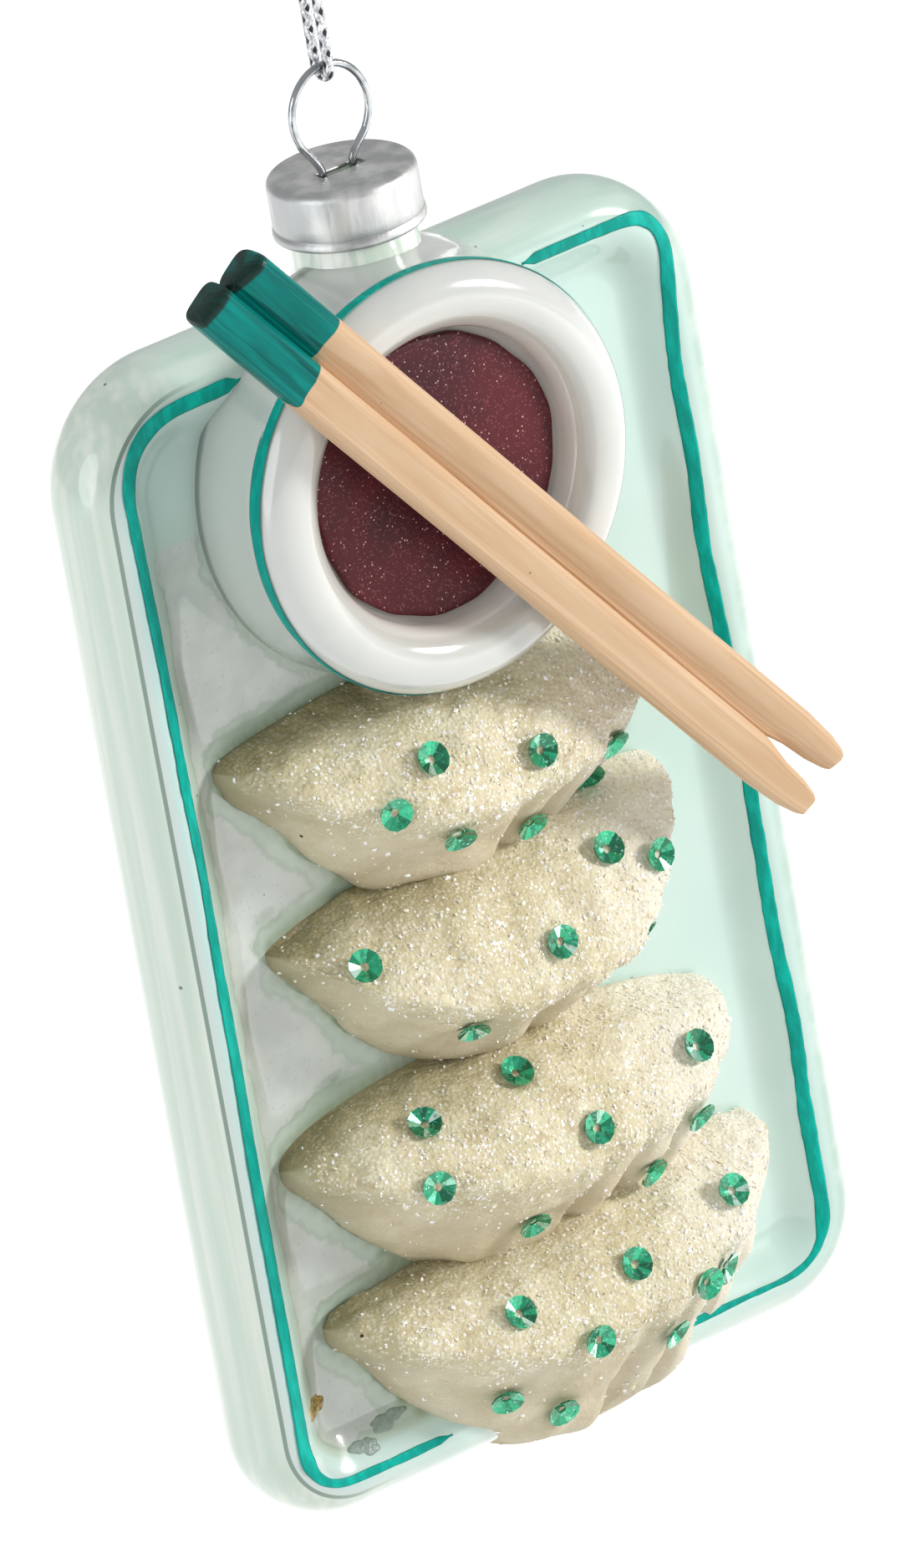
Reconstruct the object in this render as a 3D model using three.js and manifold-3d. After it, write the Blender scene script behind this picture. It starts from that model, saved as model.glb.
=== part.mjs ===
// Hanging glass ornament: a tray of four dumplings with a bowl of dipping sauce,
// a pair of chopsticks, a crimped cap, a wire hanger and its cord. Millimetres.
//
// While it is built, X runs to the right, Y to the back and Z up, with the origin
// in the middle of the tray. The finished group is then moved so that the origin
// is the top of the cord's knot, which is where the ornament hangs.

import * as THREE from 'three';
import { mergeVertices } from 'three/addons/utils/BufferGeometryUtils.js';
import loadManifold from 'manifold-3d';

// Gap between pieces that are glued, seated or pushed together
const seatGap = 0.3;

// Tray: a blown slab with rounded edges, a raised rim and a sunk floor
const trayWidth = 64.9;
const trayHeight = 107.7;
const trayThickness = 9.46;
const trayUpperCornerRadius = 11.5;
const trayLowerCornerRadius = 9.5;
const traySmallestCorner = 0.5;
const trayWall = 1.3;
const rimCrestInset = 3.4;
const rimSlopeWidth = 5.1;
const floorDepth = 2.5;

// Neck that the cap sits on
const neckRadius = 5.6;
const neckWall = 1.2;
const neckHeight = 8.65;
const neckForward = 1.23;
const neckRootDepth = 6;
const neckLipSwell = 0.2;
const neckRootSwell = 0.3;
const neckLipHeight = 0.8;
const neckFlareHeight = 2.2;
const neckRootTaper = 0.92;
const neckTipTaper = 0.55;

// Cap of thin aluminium
const capHeight = 5.3;
const capWall = 0.4;
const capClearance = 0.3;
const capEdgeRadius = 0.8;
const capHemSwell = 0.15;
const capHemHeight = 0.9;
const capHemRoll = 0.63;

// Wire hanger: a sprung loop whose two legs reach down inside the neck
const wireDiameter = 0.7;
const loopHalfWidth = 3.9;
const loopHalfHeight = 4.25;
const loopLift = 5.0;
const pinchHalfWidth = 1.6;
const legLength = 15;
const legStraight = 7;
const legFootLength = 2.5;
const legBendLength = 1.6;
const legBendShare = 0.35;
const loopArcStart = -42;

// Cord and the knot that closes it
const cordDiameter = 0.94;
const cordBightClearance = 0.18;
const knotLift = 16;
const knotRadius = 1.0;
const knotTubeRadius = 0.5;

// Bowl of sauce, standing on the tray's floor and lapping over its top edge
const bowlRadius = 18.9;
const bowlHeight = 11.2;
const bowlRimRadius = 3.0;
const bowlCentreX = -1.55;
const bowlAboveTray = 2.65;
const bowlBaseSwell = 0.2;
const bowlCavityWall = 5.4;
const bowlFloorThickness = 1.2;
const bowlCavityShoulder = 0.7;
const bowlCavityTaper = 0.8;
const sauceClearance = 0.6;
const sauceBelowRim = 3.2;
const sauceThickness = 1.0;
const sauceCrown = 0.15;
const sauceEdgeRound = 0.2;
const sauceFlatShare = 0.6;

// Dumplings: crescents with a crest, an ear at the right end and pleats below it
const dumplingLength = 44;
const dumplingHeight = 11;
const dumplingWall = 2.0;
const dumplingHighestAt = 0.43;
const dumplingWidestAt = 0.58;
const dumplingTipRound = 0.25;
const dumplingNoseRound = 0.3;
const dumplingNose = 0.046;
const dumplingHollowInset = 1.2;
const pleatDepth = 0.9;
const pleatCount = 3;
const pleatStart = 0.5;
const pleatEnd = 0.95;
const pleatFadeRate = 5.6;

// One entry for each dumpling, in shares of its length. Left and right are its tips,
// X from the tray's middle and the height over the bowl's lower edge. Above and below
// are how far it swells past the line between its tips, and crestDrop is how far the
// crest sags under that line. TipHeight is a share of its height. Each sequin lies at
// a share of the length and at a place across, from -1 to 1 over the crest.
const dumplings = [
  {
    left: [-0.541, -0.053], right: [0.464, -0.017], tipHeight: 0.18,
    above: 0.055, below: 0.427, crestDrop: 0.193, crestLowestAt: 0.68,
    sequins: [
      [0.35, -0.24], [0.59, -0.13], [0.24, 0.04], [0.38, 0.17],
      [0.61, 0.42], [0.81, 0.25], [0.79, 0.52],
    ],
  },
  {
    left: [-0.497, -0.458], right: [0.441, -0.39], tipHeight: 0.18,
    above: 0.05, below: 0.409, crestDrop: 0.239, crestLowestAt: 0.7,
    sequins: [[0.75, -0.42], [0.86, -0.17], [0.12, -0.26], [0.55, -0.18], [0.79, 0.14], [0.34, 0.25]],
  },
  {
    left: [-0.555, -0.899], right: [0.482, -0.915], tipHeight: 0.23,
    above: 0.11, below: 0.386, crestDrop: 0.095, crestLowestAt: 0.68,
    sequins: [
      [0.47, -0.57], [0.84, -0.22], [0.24, -0.48], [0.56, -0.09],
      [0.2, 0.01], [0.44, 0.35], [0.83, 0.22], [0.73, 0.4],
    ],
  },
  {
    left: [-0.522, -1.255], right: [0.532, -1.21], tipHeight: 0.18,
    above: 0.05, below: 0.46, crestDrop: 0.148, crestLowestAt: 0.68,
    sequins: [
      [0.83, -0.29], [0.3, -0.25], [0.56, -0.26], [0.43, 0.05], [0.7, 0.03],
      [0.77, 0.09], [0.64, 0.22], [0.28, 0.36], [0.41, 0.46],
    ],
  },
];

// Cup sequins glued to the dumplings
const sequinDiameter = 3.0;
const sequinHole = 0.8;
const sequinCupDepth = 0.5;
const sequinThickness = 0.18;
const sequinFacets = 8;

// Chopsticks, laid across the bowl's rim
const stickLength = 81.3;
const lowerStickExtra = 1.1;
const stickThickEnd = 3.9;
const stickThinEnd = 3.4;
const stickTipWidth = 2.3;
const stickTaperLength = 6;
const stickPastBowl = 32.7;
const stickBelowBowlCentre = 0.43;
const stickSlope = 52.4;
const stickTipSpread = 0.35;
const stickButtRound = 0.35;
const stickButtShare = 0.9;
const stickTipShare = 0.62;
const stickSquareness = 0.72;

// Facets around and along the forms
const cornerFacets = 6;
const edgeFacets = 4;
const slopeFacets = 4;
const roundFacets = 36;
const neckFacets = 26;
const dumplingRings = 25;
const dumplingSides = 8;
const hollowRings = 13;
const hollowSides = 4;
const stickSides = 12;
const rimFacets = 8;
const wireSides = 6;
const wireSteps = 66;
const loopArcSteps = 14;
const cordSides = 8;
const cordSteps = 32;
const cordRiseSteps = 7;
const cordBightSteps = 6;
const knotSteps = 56;
const knotSides = 6;

// Vertices closer than this are one, and a cut reaches this far past what it cuts
const weldDistance = 1e-4;
const cutMargin = 1;

// Places that follow from the sizes above
const trayTop = trayHeight / 2;
const floorY = -trayThickness / 2 + floorDepth;
const neckAxisY = -neckForward;
const neckTop = trayTop + neckHeight;
const neckBore = neckRadius - neckWall;
const capTop = neckTop + seatGap + capWall;
const capInnerRadius = neckRadius + neckLipSwell + capClearance;
const capRadius = capInnerRadius + capWall;
const loopCentreZ = capTop + loopLift;
const loopApexZ = loopCentreZ + loopHalfHeight;
const bowlCentreZ = trayTop + bowlAboveTray - bowlRadius;
const bowlInnerRadius = bowlRadius - 2 * bowlRimRadius;
const sauceRadius = bowlInnerRadius - sauceClearance;
const stackTopZ = bowlCentreZ - bowlRadius;
const bightRadius = wireDiameter / 2 + cordBightClearance + cordDiameter / 2;
const knotCentreZ = loopApexZ + knotLift;
const knotHalfHeight = knotForm().boundingBox.max.z;
const hangPointZ = knotCentreZ + knotHalfHeight;

const wasm = await loadManifold();
wasm.setup();

// Keeps only positions, joins equal vertices and drops triangles without an area.
function welded(geometry) {
  const bare = new THREE.BufferGeometry();
  bare.setAttribute('position', geometry.getAttribute('position').clone());
  const index = geometry.getIndex();
  if (index) bare.setIndex(index.clone());
  const merged = mergeVertices(bare, weldDistance);
  const corners = merged.getIndex().array;
  const kept = [];
  for (let i = 0; i < corners.length; i += 3) {
    const [a, b, c] = [corners[i], corners[i + 1], corners[i + 2]];
    if (a !== b && b !== c && c !== a) kept.push(a, b, c);
  }
  merged.setIndex(kept);
  return merged;
}

function signedVolume(geometry) {
  const position = geometry.getAttribute('position');
  const corners = geometry.getIndex().array;
  const [a, b, c] = [new THREE.Vector3(), new THREE.Vector3(), new THREE.Vector3()];
  let volume = 0;
  for (let i = 0; i < corners.length; i += 3) {
    a.fromBufferAttribute(position, corners[i]);
    b.fromBufferAttribute(position, corners[i + 1]);
    c.fromBufferAttribute(position, corners[i + 2]);
    volume += a.dot(b.cross(c)) / 6;
  }
  return volume;
}

// Turns the faces of a closed mesh outwards.
function facingOut(geometry) {
  const closed = welded(geometry);
  if (signedVolume(closed) < 0) {
    const corners = closed.getIndex().array;
    for (let i = 0; i < corners.length; i += 3) {
      [corners[i + 1], corners[i + 2]] = [corners[i + 2], corners[i + 1]];
    }
  }
  return closed;
}

// Skins a row of rings, each a closed list of as many points. A ring of one point is
// a tip, and an open end is closed by a fan from its middle.
function skin(rings) {
  const points = [];
  const corners = [];
  const firsts = rings.map((ring) => {
    const first = points.length;
    points.push(...ring);
    return first;
  });
  const fan = (ring, first) => {
    const middle = new THREE.Vector3();
    ring.forEach((point) => middle.addScaledVector(point, 1 / ring.length));
    points.push(middle);
    return ring.map((_, j) => [points.length - 1, first + j, first + ((j + 1) % ring.length)]);
  };
  for (let i = 0; i + 1 < rings.length; i++) {
    const [here, next] = [rings[i], rings[i + 1]];
    const sides = Math.max(here.length, next.length);
    for (let j = 0; j < sides; j++) {
      const k = (j + 1) % sides;
      const a = firsts[i] + (here.length > 1 ? j : 0);
      const b = firsts[i] + (here.length > 1 ? k : 0);
      const c = firsts[i + 1] + (next.length > 1 ? k : 0);
      const d = firsts[i + 1] + (next.length > 1 ? j : 0);
      if (a !== b) corners.push(a, b, c);
      if (c !== d) corners.push(a, c, d);
    }
  }
  const last = rings.length - 1;
  if (rings[0].length > 1) fan(rings[0], firsts[0]).forEach(([m, p, q]) => corners.push(m, q, p));
  if (rings[last].length > 1) fan(rings[last], firsts[last]).forEach((face) => corners.push(...face));
  const geometry = new THREE.BufferGeometry();
  geometry.setAttribute('position', new THREE.Float32BufferAttribute(points.flatMap((p) => p.toArray()), 3));
  geometry.setIndex(corners);
  return facingOut(geometry);
}

// A turned form about the Z axis, from pairs of radius and height.
function turned(profile, facets) {
  const points = profile.map(([radius, height]) => new THREE.Vector2(radius, height));
  return facingOut(new THREE.LatheGeometry(points, facets).rotateX(Math.PI / 2));
}

// A round tube along a curve.
function tube(curve, radius, sides, steps) {
  const section = new THREE.Shape();
  for (let i = 0; i <= sides; i++) {
    const angle = (2 * Math.PI * i) / sides;
    const [x, y] = [radius * Math.cos(angle), radius * Math.sin(angle)];
    if (i === 0) section.moveTo(x, y);
    else if (i < sides) section.lineTo(x, y);
  }
  section.closePath();
  return facingOut(new THREE.ExtrudeGeometry(section, { steps, extrudePath: curve, bevelEnabled: false }));
}

function solidOf(geometry) {
  const closed = facingOut(geometry);
  return new wasm.Manifold(new wasm.Mesh({
    numProp: 3,
    vertProperties: new Float32Array(closed.getAttribute('position').array),
    triVerts: new Uint32Array(closed.getIndex().array),
  }));
}

function geometryOf(solid) {
  const { vertProperties, triVerts } = solid.getMesh();
  const geometry = new THREE.BufferGeometry();
  geometry.setAttribute('position', new THREE.BufferAttribute(new Float32Array(vertProperties), 3));
  geometry.setIndex(new THREE.BufferAttribute(new Uint32Array(triVerts), 1));
  return geometry;
}

// Moves every vertex outwards along its normal, to cut a neighbour with a gap.
function swollen(geometry, distance) {
  const grown = facingOut(geometry);
  grown.computeVertexNormals();
  const position = grown.getAttribute('position');
  const normal = grown.getAttribute('normal');
  for (let i = 0; i < position.count; i++) {
    position.setXYZ(
      i,
      position.getX(i) + normal.getX(i) * distance,
      position.getY(i) + normal.getY(i) * distance,
      position.getZ(i) + normal.getZ(i) * distance,
    );
  }
  return grown;
}

// Tray

// One turn round the tray at a given inset from its edge, in the plane at y.
function trayRing(inset, y) {
  const halfWidth = trayWidth / 2 - inset;
  const halfHeight = trayHeight / 2 - inset;
  const ring = [];
  for (const [side, end, from] of [[1, 1, 0], [-1, 1, 90], [-1, -1, 180], [1, -1, 270]]) {
    const corner = end > 0 ? trayUpperCornerRadius : trayLowerCornerRadius;
    const radius = Math.max(corner - inset, traySmallestCorner);
    for (let i = 0; i < cornerFacets; i++) {
      const angle = THREE.MathUtils.degToRad(from + (90 * i) / (cornerFacets - 1));
      ring.push(new THREE.Vector3(
        side * (halfWidth - radius) + radius * Math.cos(angle),
        y,
        end * (halfHeight - radius) + radius * Math.sin(angle),
      ));
    }
  }
  return ring;
}

// The tray's slab, drawn in by shrink all over: a round back edge, a front edge that
// rises to the crest of the rim, and a slope that runs down to the floor.
function traySlab(shrink) {
  const half = trayThickness / 2 - shrink;
  const rings = [];
  for (let i = 0; i <= edgeFacets; i++) {
    const angle = (Math.PI / 2) * (1 - i / edgeFacets);
    rings.push(trayRing(shrink + half * (1 - Math.cos(angle)), half * Math.sin(angle)));
  }
  const crest = rimCrestInset - shrink;
  for (let i = 1; i <= edgeFacets; i++) {
    const angle = (Math.PI / 2) * (i / edgeFacets);
    rings.push(trayRing(shrink + crest * (1 - Math.cos(angle)), -half * Math.sin(angle)));
  }
  for (let i = 1; i <= slopeFacets; i++) {
    const share = i / slopeFacets;
    const fall = share * share * (3 - 2 * share);
    rings.push(trayRing(rimCrestInset + rimSlopeWidth * share, -half + floorDepth * fall));
  }
  return skin(rings);
}

// The outside of the neck, from a tapered root inside the slab to its lip.
function neckForm(grow) {
  const profile = [
    [0, trayTop - neckRootDepth - grow],
    [neckRadius * neckTipTaper + grow, trayTop - neckRootDepth - grow],
    [neckRadius * neckRootTaper + grow, trayTop - neckFlareHeight],
    [neckRadius + neckRootSwell + grow, trayTop - neckRootSwell],
    [neckRadius + neckRootSwell / 2 + grow, trayTop + neckFlareHeight / 3],
    [neckRadius + grow, trayTop + neckFlareHeight],
    [neckRadius + grow, neckTop - neckLipHeight * 1.5],
    [neckRadius + neckLipSwell + grow, neckTop - neckLipHeight],
    [neckRadius + neckLipSwell + grow, neckTop - neckLipHeight / 4],
    [neckRadius + grow, neckTop + grow],
    [0, neckTop + grow],
  ];
  return turned(profile, neckFacets).translate(0, neckAxisY, 0);
}

function trayShell() {
  const boreFoot = trayTop - trayWall - cutMargin;
  const bore = turned([
    [0, boreFoot],
    [neckBore, boreFoot],
    [neckBore, neckTop + cutMargin],
    [0, neckTop + cutMargin],
  ], neckFacets).translate(0, neckAxisY, 0);
  const outside = solidOf(traySlab(0)).add(solidOf(neckForm(0)));
  return geometryOf(outside.subtract(solidOf(traySlab(trayWall))).subtract(solidOf(bore)));
}

// Bowl and sauce. Their profiles are pairs of radius and height above the floor.

function aboveFloor(geometry, x, z) {
  return geometry.rotateX(Math.PI / 2).translate(x, floorY, z);
}

// The bowl's outside: a swollen foot, a near straight wall and a round rim, dished
// inside the rim down to the sauce. Grow pushes all of it outwards.
function bowlForm(grow) {
  const rimCentre = bowlRadius - bowlRimRadius;
  const rimBase = bowlHeight - bowlRimRadius;
  const innerFloor = bowlHeight - sauceBelowRim - sauceThickness - seatGap;
  const foot = -(Math.abs(floorY) + grow);
  const profile = [
    [0, foot],
    [bowlRadius + bowlBaseSwell + grow, foot],
    [bowlRadius + bowlBaseSwell / 2 + grow, rimBase / 3],
    [bowlRadius - bowlBaseSwell + grow, (rimBase * 2) / 3],
  ];
  for (let i = 0; i <= rimFacets; i++) {
    const angle = (Math.PI * i) / rimFacets;
    profile.push([
      rimCentre + (bowlRimRadius + grow) * Math.cos(angle),
      rimBase + (bowlRimRadius + grow) * Math.sin(angle),
    ]);
  }
  profile.push([bowlInnerRadius - grow, innerFloor + grow]);
  profile.push([0, innerFloor + grow]);
  return turned(profile, roundFacets);
}

function sauceBowl() {
  const innerFloor = bowlHeight - sauceBelowRim - sauceThickness - seatGap;
  const cavityTop = innerFloor - bowlFloorThickness;
  const cavityRadius = bowlRadius - bowlCavityWall;
  const cavity = turned([
    [0, floorY - cutMargin],
    [cavityRadius, floorY - cutMargin],
    [cavityRadius, cavityTop * bowlCavityShoulder],
    [cavityRadius * bowlCavityTaper, cavityTop],
    [0, cavityTop],
  ], roundFacets);
  const form = solidOf(aboveFloor(bowlForm(0), bowlCentreX, bowlCentreZ))
    .subtract(solidOf(aboveFloor(cavity, bowlCentreX, bowlCentreZ)));
  return geometryOf(form.subtract(solidOf(traySlab(-seatGap))).subtract(solidOf(neckForm(seatGap))));
}

function saucePool() {
  const level = bowlHeight - sauceBelowRim;
  const pool = turned([
    [0, level - sauceThickness],
    [sauceRadius - sauceEdgeRound, level - sauceThickness],
    [sauceRadius, level - sauceThickness / 2],
    [sauceRadius - sauceEdgeRound, level - sauceCrown],
    [sauceRadius * sauceFlatShare, level],
    [0, level],
  ], roundFacets);
  return aboveFloor(pool, bowlCentreX, bowlCentreZ);
}

// Dumplings

// 1 at the peak, falling to 0 at both ends of the length.
function peak(along, at, power) {
  const span = along < at ? at : 1 - at;
  return Math.max(0, 1 - Math.abs((along - at) / span) ** power);
}

// A point of a dumpling's skin. Along runs from the left tip at 0 to the right one at
// 1, and across from the upper foot at -1 over the crest at 0 to the lower foot at 1.
function dumplingPoint(dumpling, along, across) {
  const { left, right, tipHeight, above, below, crestDrop, crestLowestAt } = dumpling;
  const arch = Math.sqrt(Math.max(0, 1 - (2 * along - 1) ** 2));
  const base = THREE.MathUtils.lerp(left[1], right[1], along);
  const upperFoot = base + above * arch;
  const [slimness, fullness] = along < dumplingWidestAt ? [3.1, 1.6] : [2.3, 0.62];
  const nose = dumplingNose * Math.sqrt(Math.min(1, arch / dumplingNoseRound));
  const spread = (below - dumplingNose) * peak(along, dumplingWidestAt, slimness) ** fullness;
  const lowerFoot = base - nose - spread;
  const crest = base - crestDrop * peak(along, crestLowestAt, 2);
  const rise = tipHeight + (1 - tipHeight) * peak(along, dumplingHighestAt, 2.2) ** 0.55;
  const height = dumplingHeight * rise * Math.sqrt(Math.min(1, arch / dumplingTipRound));
  const reach = Math.sin((Math.abs(across) * Math.PI) / 2);
  const foot = across < 0 ? upperFoot : lowerFoot;
  const [bend, droop] = across < 0 ? [1.9, 1.6] : [1.35, 1.4];
  const swell = Math.max(0, 1 - reach ** bend) ** (1 / droop);
  const turn = (along - pleatStart) / (pleatEnd - pleatStart);
  const fade = THREE.MathUtils.clamp(Math.min(turn, 1 - turn) * pleatFadeRate, 0, 1);
  const flute = 0.5 - 0.5 * Math.cos(2 * Math.PI * turn * pleatCount);
  const pleat = across > 0 ? pleatDepth * fade * flute * Math.sin(Math.PI * across) : 0;
  return new THREE.Vector3(
    dumplingLength * THREE.MathUtils.lerp(left[0], right[0], along),
    floorY - Math.max(0, height * swell - pleat),
    stackTopZ + dumplingLength * (crest + (foot - crest) * reach),
  );
}

// The closed outside of a dumpling, flat where it sits on the floor.
function dumplingForm(dumpling, ringCount, sideCount) {
  const tip = ([x, z]) => [
    new THREE.Vector3(dumplingLength * x, floorY, stackTopZ + dumplingLength * z),
  ];
  const rings = [tip(dumpling.left)];
  for (let i = 1; i < ringCount - 1; i++) {
    const along = 0.5 - 0.5 * Math.cos((Math.PI * i) / (ringCount - 1));
    const ring = [];
    for (let j = -sideCount; j <= sideCount; j++) {
      ring.push(dumplingPoint(dumpling, along, j / sideCount));
    }
    rings.push(ring);
  }
  rings.push(tip(dumpling.right));
  return skin(rings);
}

// The hollow behind the skin, open to the back.
function dumplingHollow(dumpling) {
  const length = dumplingLength * (dumpling.right[0] - dumpling.left[0]);
  const width = dumplingLength * (dumpling.above + dumpling.below);
  const hollow = dumplingForm(dumpling, hollowRings, hollowSides);
  hollow.computeBoundingBox();
  const middle = hollow.boundingBox.getCenter(new THREE.Vector3());
  hollow.translate(-middle.x, -floorY, -middle.z);
  hollow.scale(
    1 - (2 * dumplingHollowInset * dumplingWall) / length,
    1 - dumplingWall / dumplingHeight,
    1 - (2 * dumplingHollowInset * dumplingWall) / width,
  );
  return hollow.translate(middle.x, floorY + dumplingWall / 2, middle.z);
}

// Each dumpling is seated on the tray and cut to what lies over it: the bowl for the
// first, and the dumpling above for the others.
function dumplingSolids() {
  const tray = solidOf(traySlab(-seatGap));
  let over = solidOf(aboveFloor(bowlForm(seatGap), bowlCentreX, bowlCentreZ));
  return dumplings.map((dumpling) => {
    const form = dumplingForm(dumpling, dumplingRings, dumplingSides);
    const hollow = solidOf(dumplingHollow(dumpling));
    const solid = solidOf(form).subtract(tray).subtract(over).subtract(hollow);
    over = over.add(solidOf(swollen(form, seatGap)));
    return geometryOf(solid);
  });
}

// Sequins

// Direction straight out of a dumpling's skin at a place on it.
function dumplingNormal(dumpling, along, across) {
  const step = 0.02;
  const lengthwise = dumplingPoint(dumpling, along + step, across)
    .sub(dumplingPoint(dumpling, along - step, across));
  const crosswise = dumplingPoint(dumpling, along, across + step)
    .sub(dumplingPoint(dumpling, along, across - step));
  const normal = lengthwise.cross(crosswise).normalize();
  return normal.y > 0 ? normal.negate() : normal;
}

// A faceted cup with a hole in its middle, opening along +Z.
function sequinCup() {
  const hole = sequinHole / 2;
  const rim = sequinDiameter / 2;
  return turned([
    [hole, 0],
    [rim, sequinCupDepth],
    [rim, sequinCupDepth + sequinThickness],
    [hole, sequinThickness],
    [hole, 0],
  ], sequinFacets);
}

// The cup glued to a dumpling at one place on its skin.
function sequinAt(dumpling, [along, across]) {
  const normal = dumplingNormal(dumpling, along, across);
  const seat = dumplingPoint(dumpling, along, across).addScaledVector(normal, seatGap);
  const turn = new THREE.Quaternion().setFromUnitVectors(new THREE.Vector3(0, 0, 1), normal);
  return sequinCup().applyQuaternion(turn).translate(seat.x, seat.y, seat.z);
}

// Chopsticks

// One stick along +X from its thick end: a soft square section, a slight taper and a
// rounded tip.
function stickForm(length) {
  const stations = [
    [0, stickThickEnd * stickButtShare],
    [stickButtRound, stickThickEnd],
    [length / 6, stickThickEnd],
    [length / 2, (stickThickEnd + stickThinEnd) / 2],
    [length - stickTaperLength, stickThinEnd],
    [length - stickTaperLength * 0.4, (stickThinEnd + stickTipWidth) / 2],
    [length - stickTipWidth / 4, stickTipWidth],
    [length, stickTipWidth * stickTipShare],
  ];
  return skin(stations.map(([along, width]) => {
    const ring = [];
    for (let i = 0; i < stickSides; i++) {
      const angle = (2 * Math.PI * (i + 0.5)) / stickSides;
      const [cos, sin] = [Math.cos(angle), Math.sin(angle)];
      ring.push(new THREE.Vector3(
        along,
        (width / 2) * Math.sign(cos) * Math.abs(cos) ** stickSquareness,
        (width / 2) * Math.sign(sin) * Math.abs(sin) ** stickSquareness,
      ));
    }
    return ring;
  }));
}

// Side is 1 for the stick nearer the top of the tray and -1 for the other.
function chopstick(side) {
  const pitch = stickThickEnd + seatGap;
  const restY = floorY - bowlHeight - seatGap - stickThickEnd / 2;
  const extra = side > 0 ? 0 : lowerStickExtra;
  const fan = THREE.MathUtils.radToDeg(Math.atan2(stickTipSpread / 2, stickLength));
  return stickForm(stickLength + extra)
    .rotateY(THREE.MathUtils.degToRad(-side * fan))
    .translate(-stickPastBowl - extra, 0, (side * pitch) / 2 - stickBelowBowlCentre)
    .rotateY(THREE.MathUtils.degToRad(stickSlope))
    .translate(bowlCentreX, restY, bowlCentreZ);
}

// Cap

function capForm() {
  const bottom = capTop - capHeight;
  const profile = [
    [capInnerRadius, bottom],
    [capRadius + capHemSwell, bottom],
    [capRadius + capHemSwell, bottom + capHemRoll],
    [capRadius, bottom + capHemHeight],
    [capRadius, capTop - capEdgeRadius],
  ];
  for (let i = 1; i <= edgeFacets; i++) {
    const angle = (Math.PI / 2) * (i / edgeFacets);
    profile.push([
      capRadius - capEdgeRadius * (1 - Math.cos(angle)),
      capTop - capEdgeRadius * (1 - Math.sin(angle)),
    ]);
  }
  profile.push([0, capTop]);
  profile.push([0, capTop - capWall]);
  profile.push([capInnerRadius, capTop - capWall]);
  profile.push([capInnerRadius, bottom]);
  const slotLength = 2 * (pinchHalfWidth + wireDiameter / 2 + seatGap);
  const slotWidth = wireDiameter + 2 * seatGap;
  const slot = new THREE.BoxGeometry(slotLength, slotWidth, 4 * capWall).translate(0, 0, capTop);
  return geometryOf(solidOf(turned(profile, roundFacets)).subtract(solidOf(slot))).translate(0, neckAxisY, 0);
}

// Wire hanger

function hangerWire() {
  const legX = neckBore - wireDiameter / 2 - seatGap;
  const half = [
    [legX, capTop - legLength],
    [legX, capTop - legLength + legFootLength],
    [pinchHalfWidth + (legX - pinchHalfWidth) * legBendShare, capTop - legStraight - legBendLength],
    [pinchHalfWidth, capTop - legStraight],
    [pinchHalfWidth, capTop - legStraight / 2],
    [pinchHalfWidth, capTop - capWall],
    [pinchHalfWidth + wireDiameter / 3, capTop + wireDiameter],
  ];
  const arcStart = THREE.MathUtils.degToRad(loopArcStart);
  for (let i = 0; i < loopArcSteps; i++) {
    const angle = THREE.MathUtils.lerp(arcStart, Math.PI / 2, i / loopArcSteps);
    half.push([loopHalfWidth * Math.cos(angle), loopCentreZ + loopHalfHeight * Math.sin(angle)]);
  }
  const right = half.map(([x, z]) => new THREE.Vector3(x, neckAxisY, z));
  const left = half.map(([x, z]) => new THREE.Vector3(-x, neckAxisY, z)).reverse();
  const apex = new THREE.Vector3(0, neckAxisY, loopApexZ);
  const path = new THREE.CatmullRomCurve3([...right, apex, ...left], false, 'centripetal');
  return tube(path, wireDiameter / 2, wireSides, wireSteps);
}

// Cord

// Down from the knot, round under the wire's apex and up again.
function hangingCord() {
  const end = knotCentreZ - knotHalfHeight - seatGap;
  const bottom = loopApexZ + bightRadius;
  const points = [];
  for (let i = 0; i < cordRiseSteps; i++) {
    points.push([-1, THREE.MathUtils.lerp(end, bottom, i / cordRiseSteps)]);
  }
  for (let i = 0; i <= cordBightSteps; i++) {
    const angle = Math.PI + (Math.PI * i) / cordBightSteps;
    points.push([Math.cos(angle), loopApexZ + bightRadius * Math.sin(angle)]);
  }
  for (let i = cordRiseSteps - 1; i >= 0; i--) {
    points.push([1, THREE.MathUtils.lerp(end, bottom, i / cordRiseSteps)]);
  }
  const path = new THREE.CatmullRomCurve3(
    points.map(([side, z]) => new THREE.Vector3(0, neckAxisY + side * bightRadius, z)),
    false,
    'centripetal',
  );
  return tube(path, cordDiameter / 2, cordSides, cordSteps);
}

// An overhand knot drawn tight, as a closed run of cord about its own middle.
function knotForm() {
  const knot = new THREE.TorusKnotGeometry(knotRadius, knotTubeRadius, knotSteps, knotSides, 2, 3);
  knot.rotateX(Math.PI / 2).center().computeBoundingBox();
  return knot;
}

function cordKnot() {
  return facingOut(knotForm()).translate(0, neckAxisY, knotCentreZ);
}

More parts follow.
